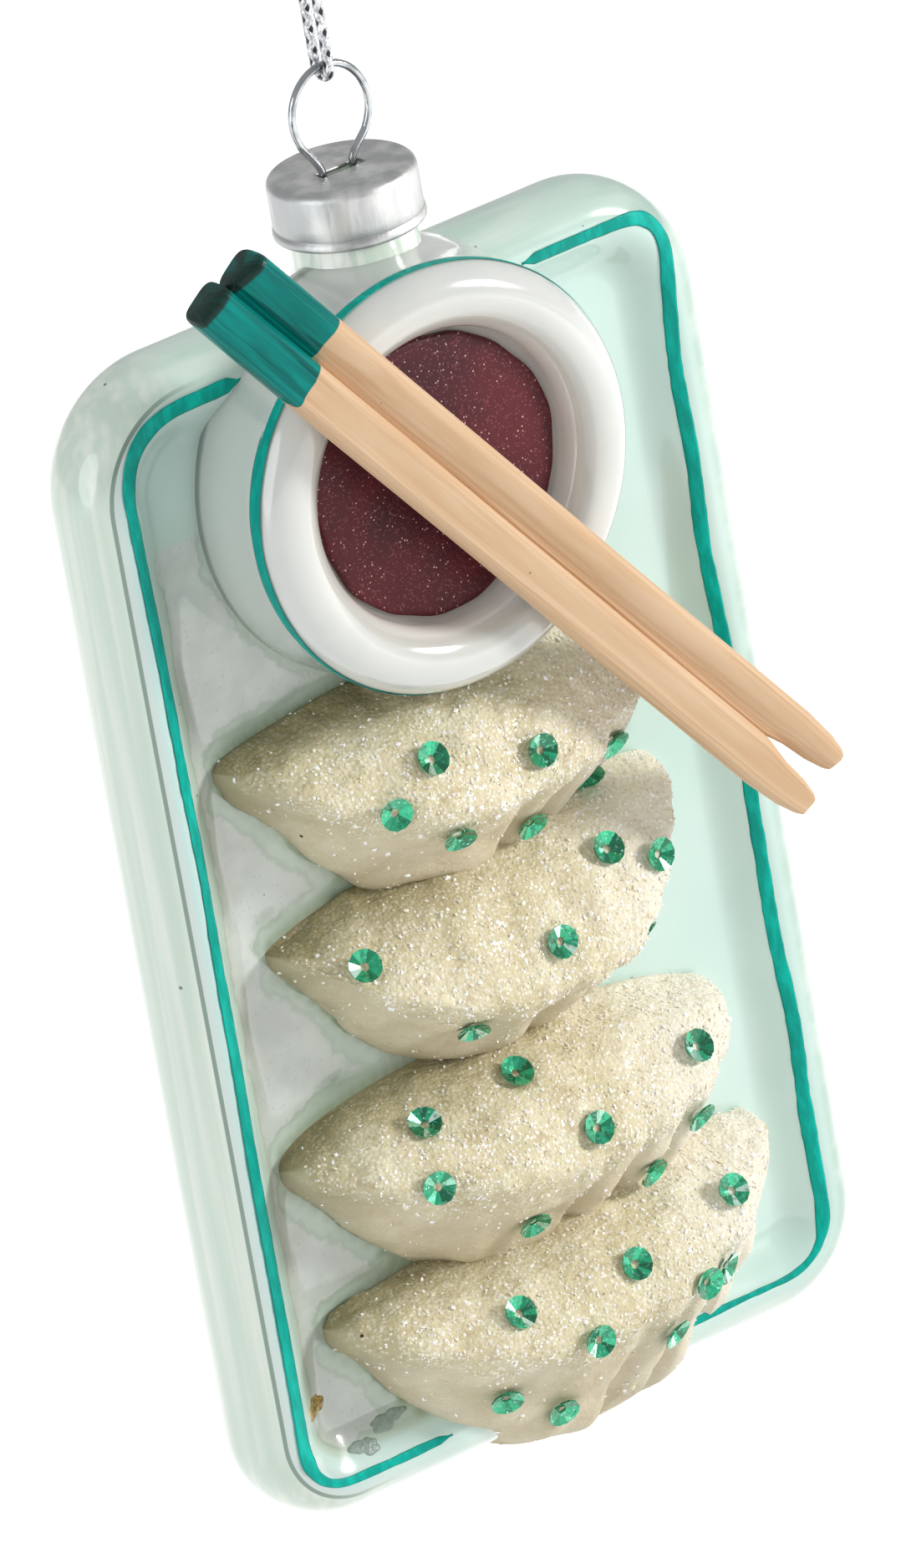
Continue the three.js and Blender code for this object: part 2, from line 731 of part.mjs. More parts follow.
// Materials, as the photographed piece shows them
const mintGlass = new THREE.MeshStandardMaterial({ color: 0xbfe0d2, roughness: 0.08, metalness: 0 });
const whiteGlaze = new THREE.MeshStandardMaterial({ color: 0xf2f2ee, roughness: 0.12, metalness: 0 });
const sauceGlitter = new THREE.MeshStandardMaterial({ color: 0x4a1a22, roughness: 0.35, metalness: 0 });
const frostedCream = new THREE.MeshStandardMaterial({ color: 0xe6dfc6, roughness: 0.8, metalness: 0 });
const emeraldSequin = new THREE.MeshStandardMaterial({ color: 0x0b8a5c, roughness: 0.15, metalness: 0.3 });
const paintedWood = new THREE.MeshStandardMaterial({ color: 0xe9c79c, roughness: 0.6, metalness: 0 });
const satinAluminium = new THREE.MeshStandardMaterial({ color: 0xc9cacd, roughness: 0.35, metalness: 1 });
const steelWire = new THREE.MeshStandardMaterial({ color: 0xb9bbbe, roughness: 0.2, metalness: 1 });
const silverCord = new THREE.MeshStandardMaterial({ color: 0xd4d5d8, roughness: 0.4, metalness: 0.8 });

const ornament = new THREE.Group();
ornament.position.set(0, -neckAxisY, -hangPointZ);

function addPiece(name, geometry, material) {
  geometry.computeVertexNormals();
  const mesh = new THREE.Mesh(geometry, material);
  mesh.name = name;
  ornament.add(mesh);
}

addPiece('tray_shell', trayShell(), mintGlass);
addPiece('sauce_bowl', sauceBowl(), whiteGlaze);
addPiece('sauce_pool', saucePool(), sauceGlitter);
dumplingSolids().forEach((geometry, i) => addPiece(`dumpling_${i + 1}`, geometry, frostedCream));
dumplings.forEach((dumpling, i) => dumpling.sequins.forEach((place, j) => {
  addPiece(`sequin_${i + 1}_${j + 1}`, sequinAt(dumpling, place), emeraldSequin);
}));
addPiece('chopstick_upper', chopstick(1), paintedWood);
addPiece('chopstick_lower', chopstick(-1), paintedWood);
addPiece('cap', capForm(), satinAluminium);
addPiece('hanger_wire', hangerWire(), steelWire);
addPiece('hanging_cord', hangingCord(), silverCord);
addPiece('cord_knot', cordKnot(), silverCord);

export default ornament;
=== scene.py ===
"""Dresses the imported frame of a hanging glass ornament: a mint glass tray with four
frosted dumplings, a bowl of sauce and a pair of chopsticks, under a metal cap, a wire
loop and a silver cord.

Lengths are in millimetres in the frame's own axes, X to the right, Y to the back and
Z up, with the origin on top of the cord's knot. They become metres in the meshes.
"""

import math

import bpy
import numpy as np
from mathutils import Matrix, Vector


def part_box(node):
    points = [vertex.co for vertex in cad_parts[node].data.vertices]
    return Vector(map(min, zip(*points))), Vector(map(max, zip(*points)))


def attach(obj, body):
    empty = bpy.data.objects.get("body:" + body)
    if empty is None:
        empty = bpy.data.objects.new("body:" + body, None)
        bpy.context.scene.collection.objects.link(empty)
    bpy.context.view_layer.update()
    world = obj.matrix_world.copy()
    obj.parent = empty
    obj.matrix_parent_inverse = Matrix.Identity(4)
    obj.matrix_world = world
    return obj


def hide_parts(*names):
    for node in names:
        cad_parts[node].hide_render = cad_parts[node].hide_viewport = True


MM = 0.001

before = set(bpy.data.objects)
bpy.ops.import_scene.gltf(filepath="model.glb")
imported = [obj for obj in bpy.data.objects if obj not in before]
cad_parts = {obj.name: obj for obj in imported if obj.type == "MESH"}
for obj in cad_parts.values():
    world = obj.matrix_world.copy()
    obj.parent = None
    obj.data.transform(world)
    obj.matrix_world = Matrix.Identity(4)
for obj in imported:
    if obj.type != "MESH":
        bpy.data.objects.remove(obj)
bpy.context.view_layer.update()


# Sizes of the part, most of them as its source gives them

TRAY_HEIGHT = 107.7
TRAY_THICKNESS = 9.46
TRAY_UPPER_CORNER = 11.5
TRAY_LOWER_CORNER = 9.5
RIM_CREST_INSET = 3.4
RIM_SLOPE = 5.1
FLOOR_DEPTH = 2.5

NECK_RADIUS = 5.6
NECK_BORE = 4.4
NECK_HEIGHT = 8.65

CAP_RADIUS = 6.5
CAP_INNER_RADIUS = 6.1
CAP_WALL = 0.4
CAP_EDGE = 0.85
CRIMP_HEIGHT = 0.95
SLOT_HALF_LENGTH = 2.25
SLOT_HALF_WIDTH = 0.65

WIRE_RADIUS = 0.35
LOOP_HALF_WIDTH = 3.9
LOOP_HALF_HEIGHT = 4.25
LEG_LENGTH = 15.0

CORD_DIAMETER = 0.94
BIGHT_RADIUS = 1.0
KNOT_RADIUS = 1.0
KNOT_TUBE = 0.5

BOWL_RADIUS = 18.9
BOWL_HEIGHT = 11.2
BOWL_RIM = 3.0
BOWL_CENTRE_X = -1.55
BOWL_ABOVE_TRAY = 2.65
DISH_LEVEL = 6.7
SAUCE_RADIUS = 12.3
SAUCE_LEVEL = 8.0

DUMPLING_LENGTH = 44.0
DUMPLING_HEIGHT = 11.0
HIGHEST_AT = 0.43
WIDEST_AT = 0.58
DUMPLING_NOSE = 0.046
DUMPLING_NOSE_ROUND = 0.3
DUMPLING_TIP_ROUND = 0.25
PLEAT_START = 0.5
PLEAT_END = 0.95
PLEAT_COUNT = 4
PLEAT_DEPTH = 1.7
PLEAT_LEAN = 0.05
CREST_RIDGE = 0.7
RIDGE_AT = 0.08
HOLLOW_AT = 0.4

SEQUIN_RADIUS = 1.5
SEQUIN_HOLE = 0.4
SEQUIN_CUP = 0.5
SEQUIN_THICKNESS = 0.18
SEQUIN_LEAN = 0.2

STICK_LENGTH = 81.3
LOWER_STICK_EXTRA = 1.1
STICK_THICK_END = 3.9
STICK_THIN_END = 3.4
STICK_TIP = 2.3
STICK_TAPER = 6.0
STICK_PAST_BOWL = 32.7
STICK_BELOW_CENTRE = 0.43
STICK_SLOPE = 52.4
STICK_TIP_SPREAD = 0.35
SEAT_GAP = 0.3

# Sizes of what the scene adds

FROST_GRAIN = 0.36
BRAID_PITCH = 1.9
BLOT_PROUD = 0.1
BLOT_SUNK = 0.08

# The dumplings from the top down. Tips are shares of the length, X from the tray's
# middle and Z from the bowl's lower edge. Above, below and crest_drop say how far the
# outline and the crest lie from the line between the tips. Sequins lie at a share of
# the length and at a place across, from -1 at the upper foot to 1 at the lower one.
DUMPLINGS = [
    {
        "left": (-0.541, -0.053), "right": (0.464, -0.017), "tip": 0.18,
        "above": 0.055, "below": 0.427, "crest_drop": 0.193, "crest_lowest": 0.68,
        "sequins": [(0.35, -0.24), (0.59, -0.13), (0.24, 0.04), (0.38, 0.17),
                    (0.61, 0.42), (0.81, 0.25), (0.79, 0.52)],
    },
    {
        "left": (-0.497, -0.458), "right": (0.441, -0.39), "tip": 0.18,
        "above": 0.05, "below": 0.409, "crest_drop": 0.239, "crest_lowest": 0.7,
        "sequins": [(0.75, -0.42), (0.86, -0.17), (0.12, -0.26), (0.55, -0.18),
                    (0.79, 0.14), (0.34, 0.25)],
    },
    {
        "left": (-0.555, -0.899), "right": (0.482, -0.915), "tip": 0.23,
        "above": 0.11, "below": 0.386, "crest_drop": 0.095, "crest_lowest": 0.68,
        "sequins": [(0.47, -0.57), (0.84, -0.22), (0.24, -0.48), (0.56, -0.09),
                    (0.2, 0.01), (0.44, 0.35), (0.83, 0.22), (0.73, 0.4)],
    },
    {
        "left": (-0.522, -1.255), "right": (0.532, -1.21), "tip": 0.18,
        "above": 0.05, "below": 0.46, "crest_drop": 0.148, "crest_lowest": 0.68,
        "sequins": [(0.83, -0.29), (0.3, -0.25), (0.56, -0.26), (0.43, 0.05), (0.7, 0.03),
                    (0.77, 0.09), (0.64, 0.22), (0.28, 0.36), (0.41, 0.46)],
    },
]


# Places that follow from the frame

def node_box(node):
    """Lowest and highest corner of a CAD node at rest, in millimetres."""
    low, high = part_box(node)
    return np.array(low) / MM, np.array(high) / MM


tray_low, tray_high = node_box("tray_shell")
cap_low, cap_high = node_box("cap")
wire_high = node_box("hanger_wire")[1]
knot_low, knot_high = node_box("cord_knot")

tray_half_width = (tray_high[0] - tray_low[0]) / 2
tray_half_height = TRAY_HEIGHT / 2
tray_middle_z = tray_low[2] + tray_half_height
tray_top_z = tray_low[2] + TRAY_HEIGHT
tray_middle_y = tray_high[1] - TRAY_THICKNESS / 2
tray_crest_y = tray_high[1] - TRAY_THICKNESS
floor_y = tray_crest_y + FLOOR_DEPTH
neck_top_z = tray_top_z + NECK_HEIGHT
loop_apex_z = wire_high[2] - WIRE_RADIUS
loop_centre_z = loop_apex_z - LOOP_HALF_HEIGHT
knot_centre_z = (knot_low[2] + knot_high[2]) / 2
bowl_centre_z = tray_top_z + BOWL_ABOVE_TRAY - BOWL_RADIUS
stack_top_z = bowl_centre_z - BOWL_RADIUS
stick_y = floor_y - BOWL_HEIGHT - SEAT_GAP - STICK_THICK_END / 2


# Camera, at the photograph's angle

CAMERA_AZIMUTH = math.radians(-31.74)
CAMERA_ELEVATION = math.radians(23.13)
CAMERA_ROLL = math.radians(10.15)
CAMERA_DISTANCE = 1428.6
CAMERA_LENS = 383.8
CAMERA_AIM_RIGHT = -2.27
CAMERA_AIM_UP = 6.70
CAMERA_SENSOR = 36
CAMERA_SEES = (0.1, 20)


def place_camera():
    """Aims a long lens at the tray's front, tilted so that the tray leans as in the
    photograph."""
    east, north = math.sin(CAMERA_AZIMUTH), math.cos(CAMERA_AZIMUTH)
    flat = math.cos(CAMERA_ELEVATION)
    back = Vector((east * flat, -north * flat, math.sin(CAMERA_ELEVATION)))
    level = Vector((north, east, 0))
    upright = back.cross(level)
    right = level * math.cos(CAMERA_ROLL) - upright * math.sin(CAMERA_ROLL)
    up = level * math.sin(CAMERA_ROLL) + upright * math.cos(CAMERA_ROLL)
    stripe_middle = Vector((0, floor_y - 1, tray_middle_z - 1.05))
    aim = stripe_middle + right * CAMERA_AIM_RIGHT + up * CAMERA_AIM_UP
    camera = bpy.data.objects.new("camera", bpy.data.cameras.new("camera"))
    camera.data.lens = CAMERA_LENS
    camera.data.sensor_width = CAMERA_SENSOR
    camera.data.clip_start, camera.data.clip_end = CAMERA_SEES
    turned = Matrix((right, up, back)).transposed().to_4x4()
    camera.matrix_world = Matrix.Translation((aim + back * CAMERA_DISTANCE) * MM) @ turned
    bpy.context.scene.collection.objects.link(camera)
    bpy.context.scene.camera = camera


# Shader maths

MIX_COLOURS = (6, 7)
MIX_RESULT = 2


class Signal:
    """A socket on its way through a finish. Sums and products of values become Math
    nodes."""

    def __init__(self, finish, socket):
        self.finish = finish
        self.socket = socket

    def maths(self, operation, *terms):
        """A Math node with these terms."""
        return self.finish.node("ShaderNodeMath", {"operation": operation}, enumerate(terms))

    def __add__(self, other):
        return self.maths("ADD", self, other)

    __radd__ = __add__

    def __sub__(self, other):
        return self.maths("SUBTRACT", self, other)

    def __rsub__(self, other):
        return self.maths("SUBTRACT", other, self)

    def __mul__(self, other):
        return self.maths("MULTIPLY", self, other)

    __rmul__ = __mul__

    def sibling(self, output):
        """Another output of the node that this signal comes from."""
        return Signal(self.finish, self.socket.node.outputs[output])

    def over(self, limit):
        """1 where the value is over the limit, and 0 elsewhere."""
        return self.maths("GREATER_THAN", self, limit)

    def ramp(self, low, high):
        """Rises smoothly from 0 where the value is low to 1 where it is high."""
        return self.finish.node(
            "ShaderNodeMapRange",
            {"interpolation_type": "SMOOTHSTEP"},
            {"Value": self, "From Min": low, "From Max": high},
        )

    def band(self, start, full, fade, end):
        """Rises from 0 to 1 between start and full, and falls back from fade to end."""
        return self.ramp(start, full) * (1 - self.ramp(fade, end))


class Finish:
    """A node material while it is made."""

    def __init__(self, name):
        self.material = bpy.data.materials.new(name)
        self.material.use_nodes = True
        self.tree = self.material.node_tree
        self.tree.nodes.clear()
        self.places = self.node("ShaderNodeTexCoord", output="Object")

    def node(self, kind, settings=None, inputs=(), output=0):
        """Adds a node: its settings first, then the values or links of its sockets."""
        node = self.tree.nodes.new(kind)
        for key, value in (settings or {}).items():
            setattr(node, key, value)
        pairs = inputs.items() if isinstance(inputs, dict) else inputs
        for key, value in pairs:
            if isinstance(value, Signal):
                self.tree.links.new(value.socket, node.inputs[key])
            else:
                node.inputs[key].default_value = value
        return Signal(self, node.outputs[output]) if len(node.outputs) else None

    def field(self, name):
        """A value that the mesh carries at each point."""
        return self.node("ShaderNodeAttribute", {"attribute_name": name}, output="Fac")

    def mix(self, share, first, second):
        """The first colour where share is 0 and the second where it is 1. A colour is
        a signal or the code of a screen colour."""
        inputs = {0: share}
        for socket, tone in zip(MIX_COLOURS, (first, second)):
            inputs[socket] = paint(tone) if isinstance(tone, str) else tone
        return self.node("ShaderNodeMix", {"data_type": "RGBA"}, inputs, MIX_RESULT)

    def coats(self, colour, *layers):
        """Lays more colours over the first, each by the share of it that shows."""
        for share, tone in layers:
            colour = self.mix(share, colour, tone)
        return colour

    def patchwork(self, size, first, second, places=None, detail=3):
        """Two colours in soft patches of the given size in millimetres."""
        return self.mix(self.cloud(size, detail, places).ramp(0.35, 0.7), first, second)

    def stretched(self, stretch, turn=(0, 0, 0)):
        """Places drawn out along the piece's axes, in metres."""
        return self.node(
            "ShaderNodeMapping", {}, {"Vector": self.places, "Scale": stretch, "Rotation": turn}
        )

    def cloud(self, size, detail=3, places=None):
        """Soft noise from 0 to 1 with lumps of the given size in millimetres."""
        return self.node(
            "ShaderNodeTexNoise",
            {},
            {"Vector": places or self.places, "Scale": 1 / (size * MM), "Detail": detail},
        )

    def cells(self, size, places=None):
        """Distance from the middle of cells of the given size in millimetres."""
        inputs = {"Vector": places or self.places, "Scale": 1 / (size * MM)}
        return self.node("ShaderNodeTexVoronoi", {"feature": "F1"}, inputs)

    def specks(self, size, share, radius, places=None):
        """Round spots in the given share of cells of the given size: the cell's own
        random value picks the cell, and the distance from its middle cuts the spot."""
        distance = self.cells(size, places)
        cell = {"Color": distance.sibling("Color")}
        chance = self.node("ShaderNodeSeparateColor", {}, cell, "Red")
        return chance.over(1 - share) * (1 - distance.over(radius))

    def bump(self, height, depth):
        """Relief of the given depth in millimetres."""
        inputs = {"Height": height, "Distance": depth * MM, "Strength": 1.0}
        return self.node("ShaderNodeBump", {}, inputs)

    def done(self, **sockets):
        """Closes the finish with one shader. Names are the shader's own, with _ for a
        space."""
        named = {key.replace("_", " "): value for key, value in sockets.items()}
        shader = self.node("ShaderNodeBsdfPrincipled", {}, named)
        self.node("ShaderNodeOutputMaterial", {}, {"Surface": shader})
        return self.material


def paint(code):
    """The linear colour of a screen colour such as c9e3d6."""
    screen = [int(code[i:i + 2], 16) / 255 for i in (0, 2, 4)]
    linear = [s / 12.92 if s <= 0.04045 else ((s + 0.055) / 1.055) ** 2.4 for s in screen]
    return (*linear, 1.0)


# Finishes

def mint_glass():
    """Clear glass over a pale mint lining. The rim's outer edge carries painted light and
    shade: darker at the right, where the light meets it, lighter at the top, and
    lightest and streaked at the left, where the streaks stand in for light refracted
    in the glass. Round its inner slope at the left run a painted reflection of the rim,
    a grey green line with a greyer pale band beside it, and a light teal haze by the
    painted line. On the floor's left the lining is greyer as painted shade, and turns
    to dull silver where the lacquer stopped short, a few millimetres away from the
    forms; at their feet it has an olive painted contact shadow."""
    f = Finish("mint glass")
    inset, side, bare, away = (f.field(name) for name in ("inset", "side", "bare", "away"))
    # The rim's outer edge takes painted light and shade: streaks stand in for light refracted
    # in the glass at the left, the right is darkened as painted shade, and the top and left are
    # lighter as painted light.
    streaks = f.cloud(1.4, 2, f.stretched((1, 1, 0.03))).ramp(0.4, 0.75)
    lining = f.mix(f.cloud(26, 2).ramp(0.35, 0.7) * 0.7, "c0ddd5", "d1e6e0")
    # On the floor's left the lining turns greyer: painted shade, where the dumplings' shadows
    # fall.
    lining = f.mix(bare, lining, f.patchwork(7, "b4c6b6", "c6d5c9"))
    drawn = f.stretched((0.15, 1, 1))
    shaded_right_edge = f.patchwork(3, "a4c0b4", "bdd2c7", drawn)
    lit_top_edge = f.patchwork(3, "c2dcd0", "dbeae1", drawn)
    lit_left_edge = f.mix(streaks * 0.7, "cddfd2", "eff4ea")
    edge = f.mix(side, f.mix(f.field("right"), lit_top_edge, shaded_right_edge), lit_left_edge)
    silver = f.patchwork(3.5, "c3cac5", "d2d9d4", detail=4)
    silver = f.mix(f.specks(0.55, 0.35, 0.22) * 0.3, silver, "98a39e")
    shore = away + (f.cloud(6) - 0.5) * 3.0 + (f.cloud(1.1, 2) - 0.5) * 1.2
    uncovered = bare.ramp(0.3, 0.5)
    colour = f.coats(
        lining,
        # Painted light and shade on the rim's outer edge.
        (1 - inset.ramp(2.2, 3.4), edge),
        # Painted reflection of the rim on the left inner slope: a greyer pale band.
        (inset.band(2.5, 2.7, 4.2, 5.0) * side * 0.85, "c3d0cf"),
        # A light teal haze by the painted line.
        (inset.band(2.9, 3.4, 3.9, 4.4) * side * 0.3, "7fd6cb"),
        # The painted reflection's edge: a grey green line.
        (inset.band(2.15, 2.25, 2.5, 2.6) * side, "748c81"),
        # An olive painted contact shadow round the feet of the forms.
        ((1 - away.ramp(0.0, 1.3)) * bare * 0.6, "87946f"),
        (shore.ramp(1.5, 2.4) * uncovered * 0.92, silver),
        (shore.band(1.4, 1.85, 1.9, 2.2) * uncovered * 0.3, "8b9a88"),
        (f.specks(2.6, 0.06, 0.07) * 0.8, "3b3a33"),
    )
    return f.done(
        Base_Color=colour, Roughness=0.2, IOR=1.5, Coat_Weight=0.9, Coat_Roughness=0.05,
        Normal=f.bump(f.cloud(9, 1), 0.25),
    )


def neck_glass():
    """Green tinted glass with drawn streaks that run along the neck. A faint glow
    stands for the light that comes through it."""
    f = Finish("neck glass")
    colour = f.patchwork(0.9, "d4e4d6", "fafcf8", f.stretched((1, 1, 0.12)), detail=2)
    return f.done(
        Base_Color=colour, Roughness=0.08, IOR=1.5, Transmission_Weight=0.05,
        Emission_Color=colour, Emission_Strength=0.1, Coat_Weight=1.0, Coat_Roughness=0.02,
    )


def white_glass():
    """White lacquer under clear glass with painted light and shade: lighter down in the
    dish as painted light, greyer on the slope into it as painted shade, and grey green on
    the wall, more so at its left, where that is partly painted shade. A dark line of
    painted shade runs round the foot's left, and there is fine dust. A faint glow in the
    dish stands for the light that passes through its rim."""
    f = Finish("white glass")
    depth = f.field("depth")
    veil = f.cloud(5, 3, f.stretched((1, 1, 1), (0, 0.5, 0))).ramp(0.4, 0.7)
    colour = f.coats(
        "d6d8d5",
        # Painted light: lighter down in the dish.
        (depth, "e9e7e3"),
        # Painted shade on the slope into the dish.
        (depth.band(0.05, 0.3, 0.45, 0.8) * 0.6, "bfc1bb"),
        (veil * 0.25, "c6ccca"),
        # Grey green on the wall, stronger at its left, where it is partly painted shade.
        (f.field("wall") * 0.6, "bfcbc3"),
        # A dark line of painted shade round the foot's left.
        (f.field("foot") * 0.7, "6b776d"),
        (f.specks(2.2, 0.06, 0.08) * 0.7, "4a4640"),
    )
    glow = f.mix(depth.ramp(0.5, 1.0), "000000", "d8d4cc")
    return f.done(
        Base_Color=colour, Roughness=0.14, IOR=1.5, Coat_Weight=0.9, Coat_Roughness=0.02,
        Subsurface_Weight=0.5, Subsurface_Radius=(1, 0.97, 0.93), Subsurface_Scale=3 * MM,
        Emission_Color=glow, Emission_Strength=0.07, Normal=f.bump(f.cloud(7, 1), 0.2),
    )


def sauce_paint():
    """Maroon paint, darker in patches, with glitter in rose, gold and white."""
    f = Finish("sauce paint")
    fine, bright = f.specks(0.22, 0.4, 0.38), f.specks(0.24, 0.09, 0.3)
    colour = f.coats(
        "42101c",
        (f.cloud(6).ramp(0.3, 0.7), "5e1b24"),
        (fine * 0.5, "90525a"),
        (bright * 0.8, "e6bfb2"),
    )
    return f.done(
        Base_Color=colour, Roughness=0.5 - fine * 0.15, Metallic=fine * 0.3 + bright * 0.3,
        Specular_IOR_Level=0.25, Coat_Weight=0.05, Coat_Roughness=0.2,
        Normal=f.bump(f.cloud(0.35, 2), 0.05),
    )


def frosted_cream():
    """Cream paint under sugar-like frost: ivory and beige patches, a smoother warm
    flank, white grains with clear glints, their white partly painted glint, dark specks
    of painted shade in the pits, and a few rusty specks. The ear at the right is whiter,
    partly denser frost and partly painted light, and the left of the upper side is
    olive, partly tint and partly painted shade, with fewer glints."""
    f = Finish("frosted cream")
    frost, dusk = f.field("frost"), f.field("dusk")
    patches = f.cloud(4.5).ramp(0.38, 0.68)
    stains = f.cloud(2.2, 3, f.stretched((1, 1, 1.7))).ramp(0.54, 0.74)
    blush = f.cloud(1.6, 3, f.stretched((1, 1, 0.5))).ramp(0.6, 0.78)
    # Dark specks of painted shade in the pits between the frost's grains.
    pit_shade = f.specks(0.4, 0.4, 0.46, f.stretched((1, 1, 1), (0.4, 0.7, 0.2)))
    # White grains of frost, their white partly painted glints.
    white_grains_and_glints = f.specks(0.34, 0.42, 0.46)
    upper = f.coats("d9ceaa", (patches, "e7dec0"), (stains * 0.55, "b9a67e"))
    flank = f.coats("cfc3a7", (patches, "dbd0b7"), (blush * 0.5, "c2a084"))
    colour = f.coats(
        flank,
        (frost, upper),
        # Painted light on the ear at the right, with denser white frost.
        (f.field("ear") * 0.75, "f8f2e4"),
        # Painted shade with an olive tint over the upper left and the left tip.
        (dusk * 0.88, "857c54"),
        # Painted shade in the pits.
        (pit_shade * frost * 0.17, "9c8e66"),
        # White grains, partly painted glints, fewer in the painted shade.
        (white_grains_and_glints * frost * (1 - dusk * 0.7) * 0.5, "fffcf2"),
        (f.specks(2.2, 0.06, 0.08), "4a1f16"),
    )
    height = (1 - f.cells(FROST_GRAIN)) * (frost * 0.6 + 0.1) + f.cloud(0.9) * 0.8
    return f.done(
        Base_Color=colour, Roughness=0.66 - white_grains_and_glints * frost * 0.4, IOR=1.5,
        Coat_Weight=white_grains_and_glints * frost * 0.5, Coat_Roughness=0.15, Normal=f.bump(height, 0.16),
    )


def frost_crystal():
    """Clear bright glitter crystals, a few of them warm."""
    f = Finish("frost crystal")
    colour = f.mix(f.field("warmth"), "ffffff", "f0e2bc")
    return f.done(
        Base_Color=colour, Roughness=0.1, IOR=1.55, Coat_Weight=1.0, Coat_Roughness=0.03,
    )


def emerald_sequin():
    """Metallic emerald film. Each facet is given painted light or shade at random, from
    dark to mid green and on a few a near white painted highlight, with rubbed dark
    patches and pale scratches in the film."""
    f = Finish("emerald sequin")
    tone = f.field("tone")
    rubbed = f.cloud(0.42).ramp(0.48, 0.66)
    scratched = f.cloud(0.3, 3, f.stretched((1, 1, 1), (0.3, 0.2, 0.5))).ramp(0.56, 0.68)
    colour = f.coats(
        "0a6a48",
        # Painted light and shade by facet: a random tone from dark to mid green.
        (tone.ramp(0.0, 0.75), "22b583"),
        # A near white painted highlight on a few facets.
        (tone.ramp(0.84, 0.98), "d8f8ea"),
        (rubbed * 0.6, "0b5a41"),
        (scratched * 0.5, "8fdcc0"),
        (f.specks(0.3, 0.12, 0.3), "9be6ca"),
    )
    return f.done(
        Base_Color=colour, Metallic=0.6, Roughness=0.14 + rubbed * 0.2, IOR=1.5,
        Coat_Weight=0.6, Coat_Roughness=0.04,
    )


def teal_paint():
    """Hand brushed teal enamel, thin in places along the stroke."""
    f = Finish("teal paint")
    strokes = f.cloud(0.8, 3, f.stretched((1, 1, 0.35))).ramp(0.35, 0.7)
    pools = f.cloud(16, 2).ramp(0.4, 0.6)
    colour = f.coats("00a092", (strokes, "00bdad"), (pools * 0.35, "007c73"))
    return f.done(
        Base_Color=colour, Roughness=0.4, Specular_IOR_Level=0.12, Coat_Weight=0.05,
        Coat_Roughness=0.12, Normal=f.bump(strokes, 0.03),
    )


def painted_wood():
    """Matt peach paint brushed along the stick, and a coat of glossy teal over the
    thick end, nearly black on the butt's edges."""
    f = Finish("painted wood")
    along = {"X": f.field("run") * 0.018, "Y": f.field("turn"), "Z": 0.0}
    grain = f.node("ShaderNodeCombineXYZ", {}, along)
    brush = f.node("ShaderNodeTexNoise", {}, {"Vector": grain, "Scale": 3.2, "Detail": 5.0})
    groove = f.node("ShaderNodeTexNoise", {}, {"Vector": grain, "Scale": 1.9, "Detail": 3.0})
    wood = f.coats(
        "d3b08c",
        (brush.ramp(0.3, 0.7), "dfc1a1"),
        (groove.ramp(0.6, 0.66) * 0.3, "bf8f68"),
        (f.specks(1.6, 0.04, 0.07) * 0.6, "7a5a3c"),
    )
    teal = f.coats(
        "006a65",
        (brush.ramp(0.35, 0.75), "009b91"),
        (groove.ramp(0.58, 0.66) * 0.6, "00383a"),
        (f.field("butt").ramp(0.1, 0.7) * 0.85, "231a12"),
    )
    coat = f.field("teal").ramp(0.42, 0.58)
    relief = brush * 0.5 + groove * 0.5 + coat * 0.4
    return f.done(
        Base_Color=f.mix(coat, wood, teal), Roughness=0.5 - coat * 0.2,
        Specular_IOR_Level=0.08, Coat_Weight=coat * 0.09, Coat_Roughness=0.08,
        Normal=f.bump(relief, 0.22),
    )


def satin_aluminium():
    """Drawn aluminium: streaks up the side, a finer grain on top and a darker crimp."""
    f = Finish("satin aluminium")
    wall = f.field("wall")
    streaks = f.cloud(0.45, 3, f.stretched((1, 1, 0.05)))
    grain = f.cloud(0.25)
    blotches = f.cloud(2.6, 3, f.stretched((1, 1, 0.4))).ramp(0.35, 0.7)
    colour = f.coats(
        "b6b8b9",
        (blotches, "dddddc"),
        (streaks.ramp(0.5, 0.75) * wall * 0.3, "aaacad"),
        (f.field("crimp") * 0.6, "88898b"),
    )
    relief = streaks * wall + grain * 0.35 + blotches
    return f.done(
        Base_Color=colour, Metallic=1.0, Roughness=0.42 + blotches * 0.08,
        Normal=f.bump(relief, 0.03),
    )


def steel_wire():
    """Bright drawn wire with fine die lines and a few dull patches."""
    f = Finish("steel wire")
    dull = f.cloud(2.0).ramp(0.45, 0.7)
    colour = f.mix(dull, "b4b7ba", "94979a")
    return f.done(
        Base_Color=colour, Metallic=1.0, Roughness=0.12 + dull * 0.1,
        Normal=f.bump(f.cloud(0.2, 2, f.stretched((1, 1, 0.2))), 0.02),
    )


def silver_cord():
    """Metallic silver braid: bright yarns with painted glints, and painted shade in the
    dark gaps where they cross.
    """
    f = Finish("silver cord")
    # Painted shade in the gaps between the yarns.
    gap_shade = 1 - f.field("yarn").ramp(0.12, 0.45)
    # Painted glints on the yarns.
    glints = f.cloud(0.3, 2).ramp(0.4, 0.7)
    colour = f.coats("a9abb0", (glints, "f1f2f4"), (gap_shade, "2b2b2e"))
    return f.done(
        Base_Color=colour, Metallic=0.75, Roughness=0.32,
        Normal=f.bump(f.cloud(0.12, 2), 0.03),
    )


def plain_finish(name, light, dark, roughness, metallic=0.0):
    """A small blemish, mottled between two colours."""
    f = Finish(name)
    colour = f.patchwork(0.5, light, dark)
    return f.done(
        Base_Color=colour, Roughness=roughness, Metallic=metallic,
        Normal=f.bump(f.cloud(0.3, 2), 0.06),
    )


# Making meshes

